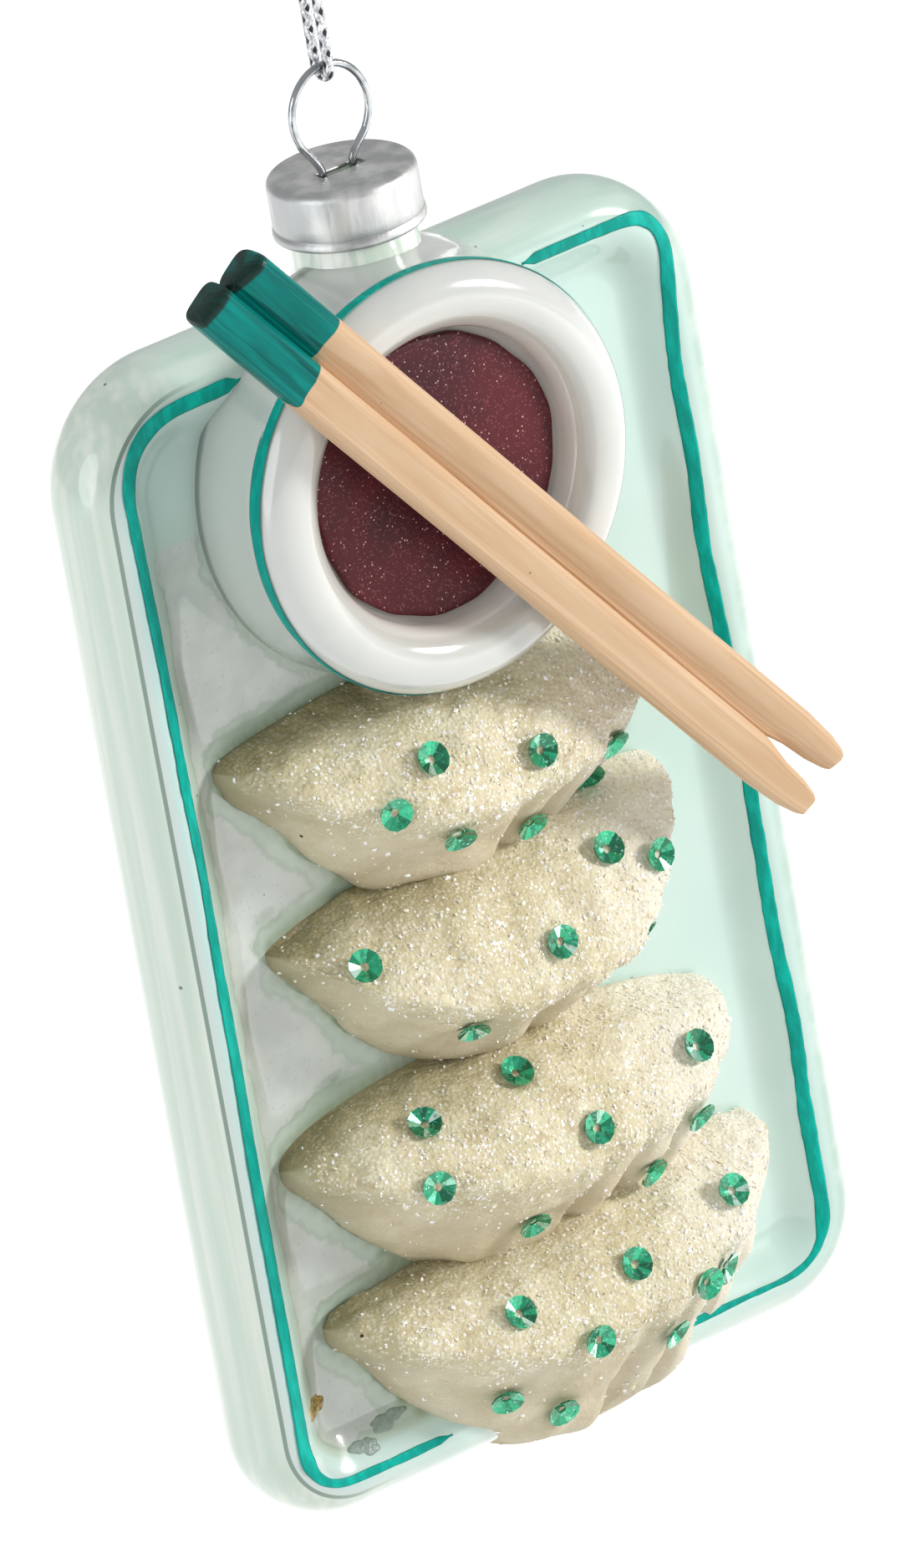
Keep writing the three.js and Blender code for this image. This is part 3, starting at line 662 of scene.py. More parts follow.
def skin(name, rings, start=None, end=None, loop=False, **fields):
    """A closed skin over an array of rings, each with as many points. Quads join each
    ring to the next, a fan closes an end to its tip, and loop joins the last ring to
    the first. Where the enclosed volume, a third of the sum of corner times area
    vector, comes out negative, every face is turned round. Fields give one value for
    each point of the rings."""
    count, sides = rings.shape[:2]
    quads = ring_quads(count, sides, loop)
    points = rings.reshape(-1, 3)
    values = {key: np.broadcast_to(value, (count, sides)) for key, value in fields.items()}
    flat = {key: value.reshape(-1) for key, value in values.items()}
    fans = np.zeros((0, 3), int)
    for tip, row, swapped in ((start, 0, False), (end, count - 1, True)):
        if tip is None:
            continue
        corner = np.full(sides, len(points))
        here = row * sides + np.arange(sides)
        edge = (here, np.roll(here, -1))
        pair = edge if swapped else edge[::-1]
        fans = np.vstack([fans, np.stack([corner, *pair], axis=-1)])
        points = np.vstack([points, np.reshape(tip, (1, 3))])
        flat = {key: np.append(flat[key], values[key][row].mean()) for key in flat}
    halves = np.vstack([quads[:, :3], quads[:, [0, 2, 3]], fans])
    a, b, c = (points[halves[:, i]] for i in range(3))
    if np.einsum("ij,ij->", a, np.cross(b, c)) < 0:
        quads, fans = quads[:, ::-1], fans[:, ::-1]
    mesh = bpy.data.meshes.new(name)
    mesh.from_pydata((points * MM).tolist(), [], quads.tolist() + fans.tolist())
    mesh.polygons.foreach_set("use_smooth", np.full(len(mesh.polygons), True))
    for key, value in flat.items():
        give_field(mesh, key, "POINT", value)
    return mesh


def ring_quads(count, sides, loop):
    """Corner numbers of the quads from each ring to the next."""
    first = np.arange(count)[:, None] * sides
    here = np.arange(sides)
    after = (here + 1) % sides
    lower = first if loop else first[:-1]
    upper = np.roll(first, -1, axis=0) if loop else first[1:]
    quads = np.stack([lower + here, lower + after, upper + after, upper + here], axis=-1)
    return quads.reshape(-1, 4)


def give_field(mesh, name, domain, values):
    """Writes a value for each of the mesh's points or faces."""
    layer = mesh.attributes.new(name, "FLOAT", domain)
    layer.data.foreach_set("value", values.astype(np.float32))


def strewn(name, corners, faces):
    """A mesh of many copies of one small form. Corners holds each copy's corners, and
    faces the corner numbers of one copy's faces."""
    count, size = corners.shape[:2]
    every = (faces[None] + np.arange(count)[:, None, None] * size).reshape(-1, faces.shape[1])
    mesh = bpy.data.meshes.new(name)
    mesh.from_pydata((corners.reshape(-1, 3) * MM).tolist(), [], every.tolist())
    return mesh


def add_piece(mesh, body, finish, nodes=()):
    """Puts a mesh in the scene as a piece that rides on a body and stands for nodes."""
    piece = bpy.data.objects.new(mesh.name, mesh)
    mesh.materials.append(finish)
    bpy.context.scene.collection.objects.link(piece)
    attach(piece, body)
    if nodes:
        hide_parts(*nodes)
    return piece


def full_turn(count):
    """Even angles once round."""
    return 2 * np.pi * np.arange(count) / count


def points_at(x, y, z):
    """Points with these coordinates, each spread to the shape that all three share."""
    return np.stack(np.broadcast_arrays(x, y, z), axis=-1)


def run_along(line):
    """Length along a line from its start to each of its points."""
    return np.append(0, np.cumsum(np.linalg.norm(np.diff(line, axis=0), axis=1)))


def unit(vectors):
    """Vectors of length 1 in the same directions."""
    return vectors / np.linalg.norm(vectors, axis=-1, keepdims=True)


def step(value, low, high):
    """Rises from 0 at low to 1 at high: share squared times three less twice share."""
    share = np.clip((value - low) / (high - low), 0, 1)
    return share * share * (3 - 2 * share)


def bell(value, middle, spread):
    """A bell curve: e to the power of minus the squared distance from the middle, in
    spreads."""
    return np.exp(-(((value - middle) / spread) ** 2))


LATTICE_PRIMES = (73856093, 19349663, 83492791)


def lump(points, size, seed):
    """Smooth random heights from -1 to 1: random values at the corners of cubes of the
    given size, blended across each cube by a smooth step on every axis. A corner's
    number in the random table mixes its three places by large primes."""
    cell = np.asarray(points) / size
    corner = np.floor(cell).astype(np.int64)
    share = step(cell - corner, 0, 1)
    table = np.random.default_rng(seed).uniform(-1, 1, 4096)
    total = np.zeros(cell.shape[:-1])
    for offset in np.ndindex(2, 2, 2):
        spot = corner + offset
        key = np.bitwise_xor.reduce(spot * LATTICE_PRIMES, axis=-1)
        weight = np.prod(np.where(offset, share, 1 - share), axis=-1)
        total += table[key % len(table)] * weight
    return total


def tube(path, side, radius, sides, closed=False):
    """Rings round a path. A ring's point is the path's point plus radius times the
    cosine of its turn along the side direction, plus radius times the sine of its turn
    along the direction square to both side and path."""
    if closed:
        ahead = np.roll(path, -1, axis=0) - np.roll(path, 1, axis=0)
    else:
        ahead = np.gradient(path, axis=0)
    ahead = unit(ahead)
    above = unit(np.cross(ahead, side))
    across = np.cross(above, ahead)
    turn = full_turn(sides)
    cos, sin = np.cos(turn)[None, :, None], np.sin(turn)[None, :, None]
    wheel = cos * across[:, None] + sin * above[:, None]
    width = np.broadcast_to(radius, (len(path), sides))
    return path[:, None] + width[..., None] * wheel


def smooth_path(points, per_span):
    """A curve through the points. Between two of them it is the cubic whose slope at
    each is half the step between that point's neighbours."""
    points = np.asarray(points, float)
    padded = np.vstack([2 * points[0] - points[1], points, 2 * points[-1] - points[-2]])
    a, b, c, d = (padded[i:len(padded) - 3 + i, None] for i in range(4))
    t = (np.arange(per_span) / per_span)[None, :, None]
    curve = b + (c - a) * t / 2 + (2 * a - 5 * b + 4 * c - d) * t**2 / 2
    curve = curve + (3 * b - a - 3 * c + d) * t**3 / 2
    return np.vstack([curve.reshape(-1, 3), points[-1:]])


# Cord, knot and wire

def braid_relief(run, turn):
    """Height of the yarns from 0 in a gap to 1 on a crown. Two sets of ridges wind
    round the cord in opposite ways, and each is on top in every other crossing."""
    left = np.cos(2 * turn + 2 * np.pi * run / BRAID_PITCH)
    right = np.cos(2 * turn - 2 * np.pi * run / BRAID_PITCH)
    return np.clip(np.maximum(left, right) * 0.6 + 0.4 - 0.35 * left * right, 0, 1)


def braided(name, path, side, diameter, sides, closed=False):
    """A tube along the path whose radius swells with the braid's relief."""
    yarn = braid_relief(run_along(path)[:, None], full_turn(sides))
    rings = tube(path, side, diameter / 2 * (0.8 + 0.24 * yarn), sides, closed)
    ends = (None, None) if closed else (path[0], path[-1])
    return skin(name, rings, *ends, loop=closed, yarn=yarn)


def cord_path(per_span):
    """Down from the knot at the front, round under the wire's apex and up again."""
    rise_top = knot_low[2] + 0.5
    front = points_at(0, -BIGHT_RADIUS, np.linspace(rise_top, loop_apex_z + 1.2, 8))
    turn = np.radians([180, 216, 252, 288, 324, 360])
    bight = points_at(0, BIGHT_RADIUS * np.cos(turn), loop_apex_z + BIGHT_RADIUS * np.sin(turn))
    back = front[::-1] * (1, -1, 1)
    return smooth_path(np.vstack([front, bight, back]), per_span)


def knot_path(steps):
    """An overhand knot: a point that circles twice round Y, at a distance of half the
    knot's radius times two plus a cosine, while it goes to and fro three times."""
    turn = 4 * np.pi * np.arange(steps) / steps
    lift = 1.5 * turn
    reach = KNOT_RADIUS * (2 + np.cos(lift)) / 2
    depth = -KNOT_RADIUS * np.sin(lift) / 2
    line = points_at(reach * np.cos(turn), depth, reach * np.sin(turn))
    middle = (line.min(axis=0) + line.max(axis=0)) / 2
    return line - middle + (0, 0, knot_centre_z)


def make_cord(finish):
    """The braid through the wire loop and the knot that closes it."""
    path = cord_path(14)
    cord = add_piece(
        braided("hanging_braid", path, (1, 0, 0), CORD_DIAMETER, 20),
        "cord", finish, ["hanging_cord"],
    )
    knot_line = knot_path(160)
    outwards = knot_line - knot_line.mean(axis=0)
    knot = add_piece(
        braided("knotted_braid", knot_line, outwards, 2 * KNOT_TUBE, 16, closed=True),
        "cord", finish, ["cord_knot"],
    )


def wire_path():
    """Up one sprung leg, through the cap's slot, round the loop and down the other."""
    top = cap_high[2]
    leg_x = NECK_BORE - WIRE_RADIUS - SEAT_GAP

    def side(pinch):
        """From a leg's end up to the loop's top. Pinch is how far from the middle the
        wire goes through the slot."""
        legs = [
            (leg_x, top - LEG_LENGTH), (leg_x, top - LEG_LENGTH + 2.5),
            (pinch + (leg_x - pinch) * 0.35, top - 8.6), (pinch, top - 7),
            (pinch, top - 3.5), (pinch, top - 0.4), (pinch + 0.25, top + 0.7),
        ]
        turn = np.linspace(math.radians(-42), math.pi / 2, 15)[:-1]
        x, z = LOOP_HALF_WIDTH * np.cos(turn), loop_centre_z + LOOP_HALF_HEIGHT * np.sin(turn)
        return np.vstack([legs, np.stack([x, z], axis=1)])

    right, left = side(1.3), side(1.8)[::-1] * (-1, 1)
    flat = np.vstack([right, [[0, loop_apex_z]], left])
    return smooth_path(points_at(flat[:, 0], 0, flat[:, 1]), 8)


def make_wire(finish):
    """A round wire along its path."""
    path = wire_path()
    rings = tube(path, (0, 1, 0), WIRE_RADIUS, 16)
    mesh = skin("sprung_wire", rings, path[0], path[-1])
    add_piece(mesh, "hanger", finish, ["hanger_wire"])


# Cap

def cap_rings(sides):
    """Circles from the hem up the outside, over the top, into the slot and back along
    the inside. Each row has a radius, a height from the cap's top, and a share by
    which the circle is drawn to the slot's rectangle."""
    hem = cap_low[2] - cap_high[2]
    outside = [
        (CAP_RADIUS + swell, hem + lift, 0)
        for swell, lift in (
            (-0.15, 0), (0.1, 0.12), (0.13, 0.35), (0.08, 0.75), (-0.06, 0.9), (-0.06, 1.0),
            (0.01, 1.15), (0, 2.0), (0, 3.2),
        )
    ]
    round_edge = [
        (CAP_RADIUS - CAP_EDGE * (1 - math.cos(t)), -CAP_EDGE * (1 - math.sin(t)), 0)
        for t in np.linspace(0, math.pi / 2, 9)
    ]
    rows = [
        (CAP_INNER_RADIUS, hem + 0.1, 0), *outside, *round_edge,
        (5.1, -0.03, 0), (4.4, -0.05, 0.02), (3.6, -0.06, 0.25), (2.9, -0.1, 0.7),
        (2.4, -0.16, 0.95), (2.3, -0.22, 1), (2.3, -CAP_WALL - 0.1, 1),
        (3.2, -CAP_WALL - 0.05, 0.4), (5.2, -CAP_WALL, 0),
        (CAP_INNER_RADIUS - 0.3, -CAP_WALL - 0.1, 0),
        (CAP_INNER_RADIUS, -CAP_WALL - 0.5, 0), (CAP_INNER_RADIUS, hem / 2, 0),
    ]
    radius, height, square = (np.array(column)[:, None] for column in zip(*rows))
    cos, sin = np.cos(full_turn(sides)), np.sin(full_turn(sides))
    reach = 1 / np.maximum(np.abs(cos) / SLOT_HALF_LENGTH, np.abs(sin) / SLOT_HALF_WIDTH)
    span = radius * (1 - square) + reach * square
    rings = points_at(span * cos, span * sin, cap_high[2] + height)
    dents = 0.03 * lump(rings, 3.0, 5) * (square < 0.5)
    return rings * (1 + dents[..., None] * (0.12, 0.12, 0)), radius, height


def make_cap(finish):
    """The drawn cup, marked along its crimp line and on its side."""
    rings, radius, height = cap_rings(160)
    hem = cap_low[2] - cap_high[2]
    crimp = bell(height - hem, CRIMP_HEIGHT, 0.1) * (radius > CAP_INNER_RADIUS + 0.1)
    wall = (radius > CAP_RADIUS - 0.3).astype(float)
    mesh = skin("crimped_cap", rings, loop=True, crimp=crimp, wall=wall)
    add_piece(mesh, "cap", finish, ["cap"])


# Tray

def tray_outline(inset, per_corner=22, per_side=90):
    """Closed outlines of a rounded rectangle, one for each inset from the tray's edge.
    A corner's points are its centre plus its radius times the direction of the turn,
    and a side's points run straight from one corner's last to the next one's first."""
    inset = np.asarray(inset, float)[:, None]
    sign = np.array([(1, 1), (-1, 1), (-1, -1), (1, -1)])
    corner = np.where(sign[:, 1] > 0, TRAY_UPPER_CORNER, TRAY_LOWER_CORNER)
    radius = np.maximum(corner - inset, 0.5)
    half = np.array([tray_half_width, tray_half_height])
    centre = sign * (half - inset[..., None] - radius[..., None])
    quarter = np.linspace(0, np.pi / 2, per_corner)
    turn = np.arange(4)[:, None] * np.pi / 2 + quarter
    wheel = np.stack([np.cos(turn), np.sin(turn)], axis=-1)
    arcs = centre[:, :, None] + radius[:, :, None, None] * wheel
    share = (np.arange(1, per_side) / per_side)[:, None]
    last, following = arcs[:, :, -1:], np.roll(arcs, -1, axis=1)[:, :, :1]
    sides = last + (following - last) * share
    return np.concatenate([arcs, sides], axis=2).reshape(len(inset), -1, 2)


def tray_inset(x, z):
    """Distance in from the tray's edge: the corner's radius less the length of what
    sticks out past the corner's centre."""
    across, up = np.abs(x), z - tray_middle_z
    corner = np.where(up > 0, TRAY_UPPER_CORNER, TRAY_LOWER_CORNER)
    out_x = across - (tray_half_width - corner)
    out_z = np.abs(up) - (tray_half_height - corner)
    rounded = np.hypot(np.maximum(out_x, 0), np.maximum(out_z, 0))
    return corner - rounded - np.minimum(np.maximum(out_x, out_z), 0)


def tray_front(x, z):
    """Height of the tray's front: a quarter ellipse up to the crest of the rim, a
    smooth step down to the floor, and the slight waves of blown glass."""
    inset = tray_inset(x, z)
    drop = step(inset, RIM_CREST_INSET, RIM_CREST_INSET + RIM_SLOPE) * FLOOR_DEPTH
    outward = np.clip(1 - inset / RIM_CREST_INSET, 0, 1)
    edge = TRAY_THICKNESS / 2 * (1 - np.sqrt(1 - outward**2))
    return tray_crest_y + drop + edge + glass_waves(x, z) * step(inset, 1.0, 4.0)


def glass_waves(x, z):
    """Slow swells of the blown tray."""
    spots = points_at(x, 0, z)
    return 0.09 * lump(spots, 17.0, 3) + 0.03 * lump(spots, 6.0, 4)


def tray_rings():
    """Outlines from the middle of the back, round the edge, over the rim and down to
    the middle of the floor."""
    half = TRAY_THICKNESS / 2
    round_back = np.linspace(math.pi / 2, 0, 12)
    round_front = np.linspace(0, math.pi / 2, 14)[1:]
    inset = np.concatenate([
        half * (1 - np.cos(round_back)),
        RIM_CREST_INSET * (1 - np.cos(round_front)),
        RIM_CREST_INSET + RIM_SLOPE * np.linspace(0, 1, 18)[1:],
    ])
    outline = tray_outline(inset)
    x, z = outline[..., 0], outline[..., 1] + tray_middle_z

    def drawn_in(row, shares):
        """An outline drawn in towards the tray's middle by each of the shares."""
        left = 1 - shares[1:-1, None]
        return x[row] * left, tray_middle_z + (z[row] - tray_middle_z) * left

    back_x, back_z = drawn_in(0, np.linspace(1, 0, 8))
    floor_x, floor_z = drawn_in(-1, np.linspace(0, 1, 42))
    edge, front = slice(len(round_back)), slice(len(round_back), None)
    edge_y = tray_middle_y + half * np.sin(round_back)[:, None]
    return np.concatenate([
        points_at(back_x, tray_high[1], back_z),
        points_at(x[edge], edge_y, z[edge]),
        points_at(x[front], tray_front(x[front], z[front]), z[front]),
        points_at(floor_x, tray_front(floor_x, floor_z), floor_z),
    ])


BOWL_FOOT_INSET = 1.2
FARTHEST = 8


def distance_to_forms(x, z):
    """How far a place on the floor lies from the nearest foot of the bowl or of a
    dumpling, up to the farthest that matters."""
    away = np.hypot(x - BOWL_CENTRE_X, z - bowl_centre_z) - BOWL_RADIUS + BOWL_FOOT_INSET
    along = np.linspace(0.02, 0.98, 40)
    for shape in DUMPLINGS:
        feet = [dumpling_skin(shape, along, np.full(40, edge)) for edge in (-1.0, 1.0)]
        for foot in np.concatenate(feet):
            away = np.minimum(away, np.hypot(x - foot[0], z - foot[2]))
    return np.clip(away, 0, FARTHEST)


def make_tray(finish):
    """The blown slab. It carries the distance in from its edge, its left and right
    sides, and on the floor's left the part without lacquer, which also takes painted
    shade, and the distance there to the nearest form."""
    rings = tray_rings()
    x, y, z = rings[..., 0], rings[..., 1], rings[..., 2]
    inset = np.where(y < tray_middle_y, tray_inset(x, z), 0.0)
    # side and right pick the rim's left and right edges, which take painted light and shade;
    # side also picks the painted reflection on the inner slope.
    side = step(-x / tray_half_width, 0.55, 0.85)
    right = step(x / tray_half_width, 0.6, 0.9)
    away = np.minimum(distance_to_forms(x, z), 1.3 * (inset - 5.2))
    leftward = step(-x - 0.25 * (z - tray_middle_z), 0.0, 6.0)
    # The floor's left, without lacquer and in painted shade, except round the bowl's height.
    bare = leftward * step(inset, 5.4, 6.4)
    bare = bare * (1 - step(z, bowl_centre_z - 6, bowl_centre_z + 4))
    middle = np.array([0, 0, tray_middle_z])
    mesh = skin(
        "blown_tray", rings, middle + (0, tray_high[1], 0),
        middle + (0, tray_front(0.0, tray_middle_z), 0),
        inset=inset, side=side, right=right, away=away, bare=bare,
    )
    add_piece(mesh, "glass", finish, ["tray_shell"])


def make_neck(finish):
    """A turned tube: up its flared outside, over the lip and down the bore."""
    foot = [
        (radius, tray_top_z + lift)
        for radius, lift in (
            (3.6, -4.5), (4.9, -2.6), (5.75, -0.9), (5.95, -0.2), (5.8, 0.7),
            (NECK_RADIUS, 2.2),
        )
    ]
    lip = [
        (radius, neck_top_z - drop)
        for radius, drop in (
            (NECK_RADIUS, 1.3), (NECK_RADIUS + 0.15, 0.9), (NECK_RADIUS + 0.2, 0.5),
            (NECK_RADIUS + 0.1, 0.15), (5.2, 0), (4.7, 0.05), (NECK_BORE, 0.4), (NECK_BORE, 3),
            (NECK_BORE, 7), (NECK_BORE - 0.2, 10.4), (3.2, 10.9),
        )
    ]
    profile = smooth_path(np.insert(np.array(foot + lip), 1, 0, axis=1), 4)
    turn = full_turn(96)
    radius, height = profile[:, 0, None], profile[:, 2, None]
    rings = points_at(radius * np.cos(turn), radius * np.sin(turn), height)
    wobble = 1 + 0.008 * lump(rings, 5.0, 8)[..., None] * (1, 1, 0)
    ends = (0, 0, tray_top_z - 4.6), (0, 0, neck_top_z - 11)
    mesh = skin("blown_neck", rings * wobble, *ends)
    add_piece(mesh, "glass", finish)


# Bowl and sauce

def bowl_profile():
    """Radius and height above the floor: the swollen foot, the wall, the round rim
    and the dish inside it."""
    rim_centre = BOWL_RADIUS - BOWL_RIM
    rim_base = BOWL_HEIGHT - BOWL_RIM
    turn = np.linspace(0, np.pi, 40)
    wheel = np.stack([np.cos(turn), np.sin(turn)], axis=1)
    rim = np.array([rim_centre, rim_base]) + BOWL_RIM * wheel
    wall = smooth_path([
        (16.0, 0, -2.15), (18.2, 0, -1.9), (19.05, 0, -0.6), (19.1, 0, 0.6), (18.98, 0, 2.2),
        (18.75, 0, 4.4), (18.74, 0, 6.4), (18.88, 0, rim_base),
    ], 8)[:-1, [0, 2]]
    dish = smooth_path([
        (12.9, 0, rim_base), (12.75, 0, 7.5), (12.3, 0, 7.0), (11.4, 0, 6.75),
        (9.0, 0, DISH_LEVEL), (4.0, 0, DISH_LEVEL),
    ], 6)[1:, [0, 2]]
    return np.vstack([wall, rim, dish])


def bowl_sway(turn):
    """How the hand-blown bowl strays from round: a factor for its radius and a shift of
    its height, both made of sines of the turn."""
    swell = 1 + 0.004 * np.sin(2 * turn + 0.7) + 0.003 * np.sin(3 * turn)
    return swell, 0.06 * np.sin(2 * turn - 0.4)


def round_bowl(radius, height, turn):
    """Points at a radius from the bowl's axis and a height above the tray's floor."""
    return points_at(
        BOWL_CENTRE_X + radius * np.cos(turn), floor_y - height,
        bowl_centre_z + radius * np.sin(turn),
    )


def on_bowl_axis(height):
    """The point of the bowl's axis at a height above the tray's floor."""
    return round_bowl(0, height, 0)


def make_bowl(finish):
    """The turned bowl, with painted light and shade in its dish, a grey green wall that is
    partly painted shade at its left, and a dark line of painted shade at the foot's left.
    """
    radius, height = bowl_profile().T[:, :, None]
    turn = full_turn(176)
    swell, shift = bowl_sway(turn)
    rings = round_bowl(radius * swell, height + shift, turn)
    depth = step(BOWL_RADIUS - BOWL_RIM - radius, 0.5, 3.4)
    # The wall's tint is weighted towards the left, partly as painted shade.
    wall = step(radius, 18.3, 18.7) * (1 - step(height, 6.5, 8.5))
    left = step(-np.cos(turn), -0.3, 0.6)
    # The foot's line of painted shade, at the left only.
    foot = step(radius, 18.4, 18.6) * (1 - step(np.abs(height - 0.35), 0.15, 0.6)) * left
    mesh = skin(
        "white_bowl", rings, on_bowl_axis(-2.2), on_bowl_axis(DISH_LEVEL),
        depth=depth, wall=wall * (0.3 + 0.7 * left), foot=foot,
    )
    add_piece(mesh, "glass", finish, ["sauce_bowl"])


def make_sauce(finish):
    """A disc with a soft uneven edge and a level top."""
    turn = full_turn(180)
    ragged = 0.16 * np.sin(3 * turn + 1) + 0.1 * np.sin(7 * turn) + 0.05 * np.sin(17 * turn)
    share, height = np.array([
        (0.96, 7.02), (0.99, 7.05), (1, 7.2), (1, 7.6), (0.995, 7.78), (0.985, 7.88),
        (0.96, 7.94), (0.9, 7.97), (0.75, SAUCE_LEVEL), (0.5, SAUCE_LEVEL), (0.25, SAUCE_LEVEL),
    ]).T[:, :, None]
    rings = round_bowl((SAUCE_RADIUS + ragged) * share, height, turn)
    mesh = skin("glitter_sauce", rings, on_bowl_axis(7.0), on_bowl_axis(SAUCE_LEVEL))
    add_piece(mesh, "glass", finish, ["sauce_pool"])


# Painted lines

def ribbon(name, line, across, outward, width, lift=0.05):
    """A low bead of paint along a line: its section is a flat arch, width across and
    lift high, whose edges dip under the surface it lies on."""
    turn = np.linspace(-1, 1, 9)
    arch = np.concatenate([turn, turn[::-1][1:-1]])
    rise = np.concatenate([1.15 * (1 - turn**4) - 0.15, np.full(7, -0.6)])
    width = np.broadcast_to(width, len(line))
    rings = (
        line[:, None]
        + across[:, None] * (arch[None, :, None] * width[:, None, None] / 2)
        + outward[:, None] * (rise[None, :, None] * lift)
    )
    return skin(name, rings, line[0], line[-1])


def tray_line(corners, radii, per_corner=16):
    """Points along straight runs between corners. Each corner is a parabola that starts
    and ends at its radius from it. The first and last corners are the line's ends."""
    pieces = [np.array(corners[:1], float)]
    for before, corner, after, radius in zip(corners, corners[1:-1], corners[2:], radii):
        into, out = unit(np.subtract(corner, before)), unit(np.subtract(after, corner))
        share = np.linspace(0, 1, per_corner)[:, None]
        start, end = corner - into * radius, corner + out * radius
        bend = 2 * share * (1 - share) * np.array(corner)
        pieces.append((1 - share) ** 2 * start + bend + share**2 * end)
    pieces.append(np.array(corners[-1:], float))
    line = np.vstack(pieces)
    run = run_along(line)
    even = np.linspace(0, run[-1], int(run[-1] / 0.35))
    return np.stack([np.interp(even, run, line[:, i]) for i in range(2)], axis=1)


def make_tray_stripe(name, corners, radii, broad, finish, seed):
    """A brushed line that follows the rim's inner slope. It wanders and swells a
    little, is half as broad along the tray's lower edge, and its ends thin out."""
    flat = tray_line(corners, radii)
    spots = points_at(flat[:, 0], 0, flat[:, 1])
    ahead = unit(np.gradient(flat, axis=0))
    square = np.stack([-ahead[:, 1], ahead[:, 0]], axis=1)
    flat = flat + square * (0.16 * lump(spots, 9.0, seed))[:, None]
    x, z = flat[:, 0], flat[:, 1] + tray_middle_z
    line = points_at(x, tray_front(x, z), z)
    nudge = 0.3
    on, back = (
        tray_front(x + square[:, 0] * way, z + square[:, 1] * way) for way in (nudge, -nudge)
    )
    across = unit(points_at(square[:, 0], (on - back) / (2 * nudge), square[:, 1]))
    along = unit(np.gradient(line, axis=0))
    outward = unit(np.cross(along, across))
    outward = outward * -np.sign(outward[:, 1:2])
    end = np.arange(len(line))
    taper = np.clip(np.minimum(end, end[::-1]) / 4, 0.25, 1)
    broad = broad * (1 - 0.5 * step(-flat[:, 1], 46.0, 49.0))
    uneven = 0.14 * lump(spots, 3.0, seed + 1), 0.08 * lump(spots, 0.9, seed + 2)
    mesh = ribbon(name, line, across, outward, (broad + uneven[0] + uneven[1]) * taper)
    add_piece(mesh, "glass", finish)


def make_bowl_line(finish):
    """A brushed ring round the bowl's shoulder, thick at the upper left and thin at
    the foot."""
    steps = 420
    turn = 2 * np.pi * np.arange(steps + 1) / steps
    profile = bowl_profile()[:70]
    spots = points_at(np.cos(turn) * 12, np.sin(turn) * 12, 0)
    height = 8.6 + 0.14 * lump(spots, 8.0, 21)
    wall = profile[:, 1].argsort()
    swell, shift = bowl_sway(turn)
    radius = np.interp(height, profile[wall, 1], profile[wall, 0]) * swell
    outward = points_at(np.cos(turn), 0, np.sin(turn))
    line = round_bowl(radius, height + shift, turn)
    across = np.broadcast_to((0.0, -1.0, 0.0), line.shape)
    width = 0.84 + 0.7 * np.cos(turn - math.radians(155)) + 0.1 * lump(spots, 2.0, 22)
    width = np.maximum(width, 0.12)
    mesh = ribbon("bowl_line", line, across, outward, width, lift=0.045)
    add_piece(mesh, "glass", finish)


# Dumplings

def peak(along, at, power):
    """1 at the peak, falling by a power of the distance to 0 at both ends."""
    span = np.where(along < at, at, 1 - at)
    return np.maximum(0, 1 - np.abs((along - at) / span) ** power)


def dumpling_skin(shape, along, across):
    """A dumpling's smooth form. Along runs from the left tip to the right, across from
    the upper foot over the crest to the lower foot. The crest and both feet are
    curves below and above the line between the tips. The height falls from the crest
    to a foot by a power curve. The lower foot bulges by a peak to a power and ends in a
    blunt nose, a root curve, at both tips. A soft ridge with a hollow below it parts the
    frosted top from the flank, and narrow pleats lean along the flank."""
    left, right = shape["left"], shape["right"]
    arch = np.sqrt(np.maximum(0, 1 - (2 * along - 1) ** 2))
    base = left[1] + (right[1] - left[1]) * along
    upper_foot = base + shape["above"] * arch
    slimness = np.where(along < WIDEST_AT, 3.1, 2.3)
    fullness = np.where(along < WIDEST_AT, 1.6, 0.62)
    nose = DUMPLING_NOSE * np.sqrt(np.minimum(1, arch / DUMPLING_NOSE_ROUND))
    spread = (shape["below"] - DUMPLING_NOSE) * peak(along, WIDEST_AT, slimness) ** fullness
    lower_foot = base - nose - spread
    crest = base - shape["crest_drop"] * peak(along, shape["crest_lowest"], 2)
    rise = shape["tip"] + (1 - shape["tip"]) * peak(along, HIGHEST_AT, 2.2) ** 0.55
    height = DUMPLING_HEIGHT * rise * np.sqrt(np.minimum(1, arch / DUMPLING_TIP_ROUND))
    upper = across < 0
    reach = np.sin(np.abs(across) * np.pi / 2)
    foot = np.where(upper, upper_foot, lower_foot)
    bend, droop = np.where(upper, 1.9, 1.35), np.where(upper, 1.6, 1.4)
    fall = np.maximum(0, 1 - reach**bend) ** (1 / droop)
    turn = (along + PLEAT_LEAN * across - 0.02 - PLEAT_START) / (PLEAT_END - PLEAT_START)
    fade = np.clip(np.minimum(turn, 1 - turn) * 5.6, 0, 1)
    fold = (0.5 - 0.5 * np.cos(2 * np.pi * PLEAT_COUNT * turn)) ** 2.2
    lower = np.clip(across, 0, 1)
    pleat = PLEAT_DEPTH * fade * fold * np.sin(np.pi * lower) ** 0.8
    ridge = bell(across, RIDGE_AT, 0.09) - 1.2 * bell(across, HOLLOW_AT, 0.17)
    ridge = CREST_RIDGE * ridge * peak(along, 0.4, 2)
    x = DUMPLING_LENGTH * (left[0] + (right[0] - left[0]) * along)
    y = floor_y - np.maximum(0, height * fall - pleat + ridge)
    z = stack_top_z + DUMPLING_LENGTH * (crest + (foot - crest) * reach)
    return points_at(x, y, z)


def grid_cross(points):
    """At each point of a grid, the cross product of the steps along and across it."""
    return np.cross(np.gradient(points, axis=0), np.gradient(points, axis=1))


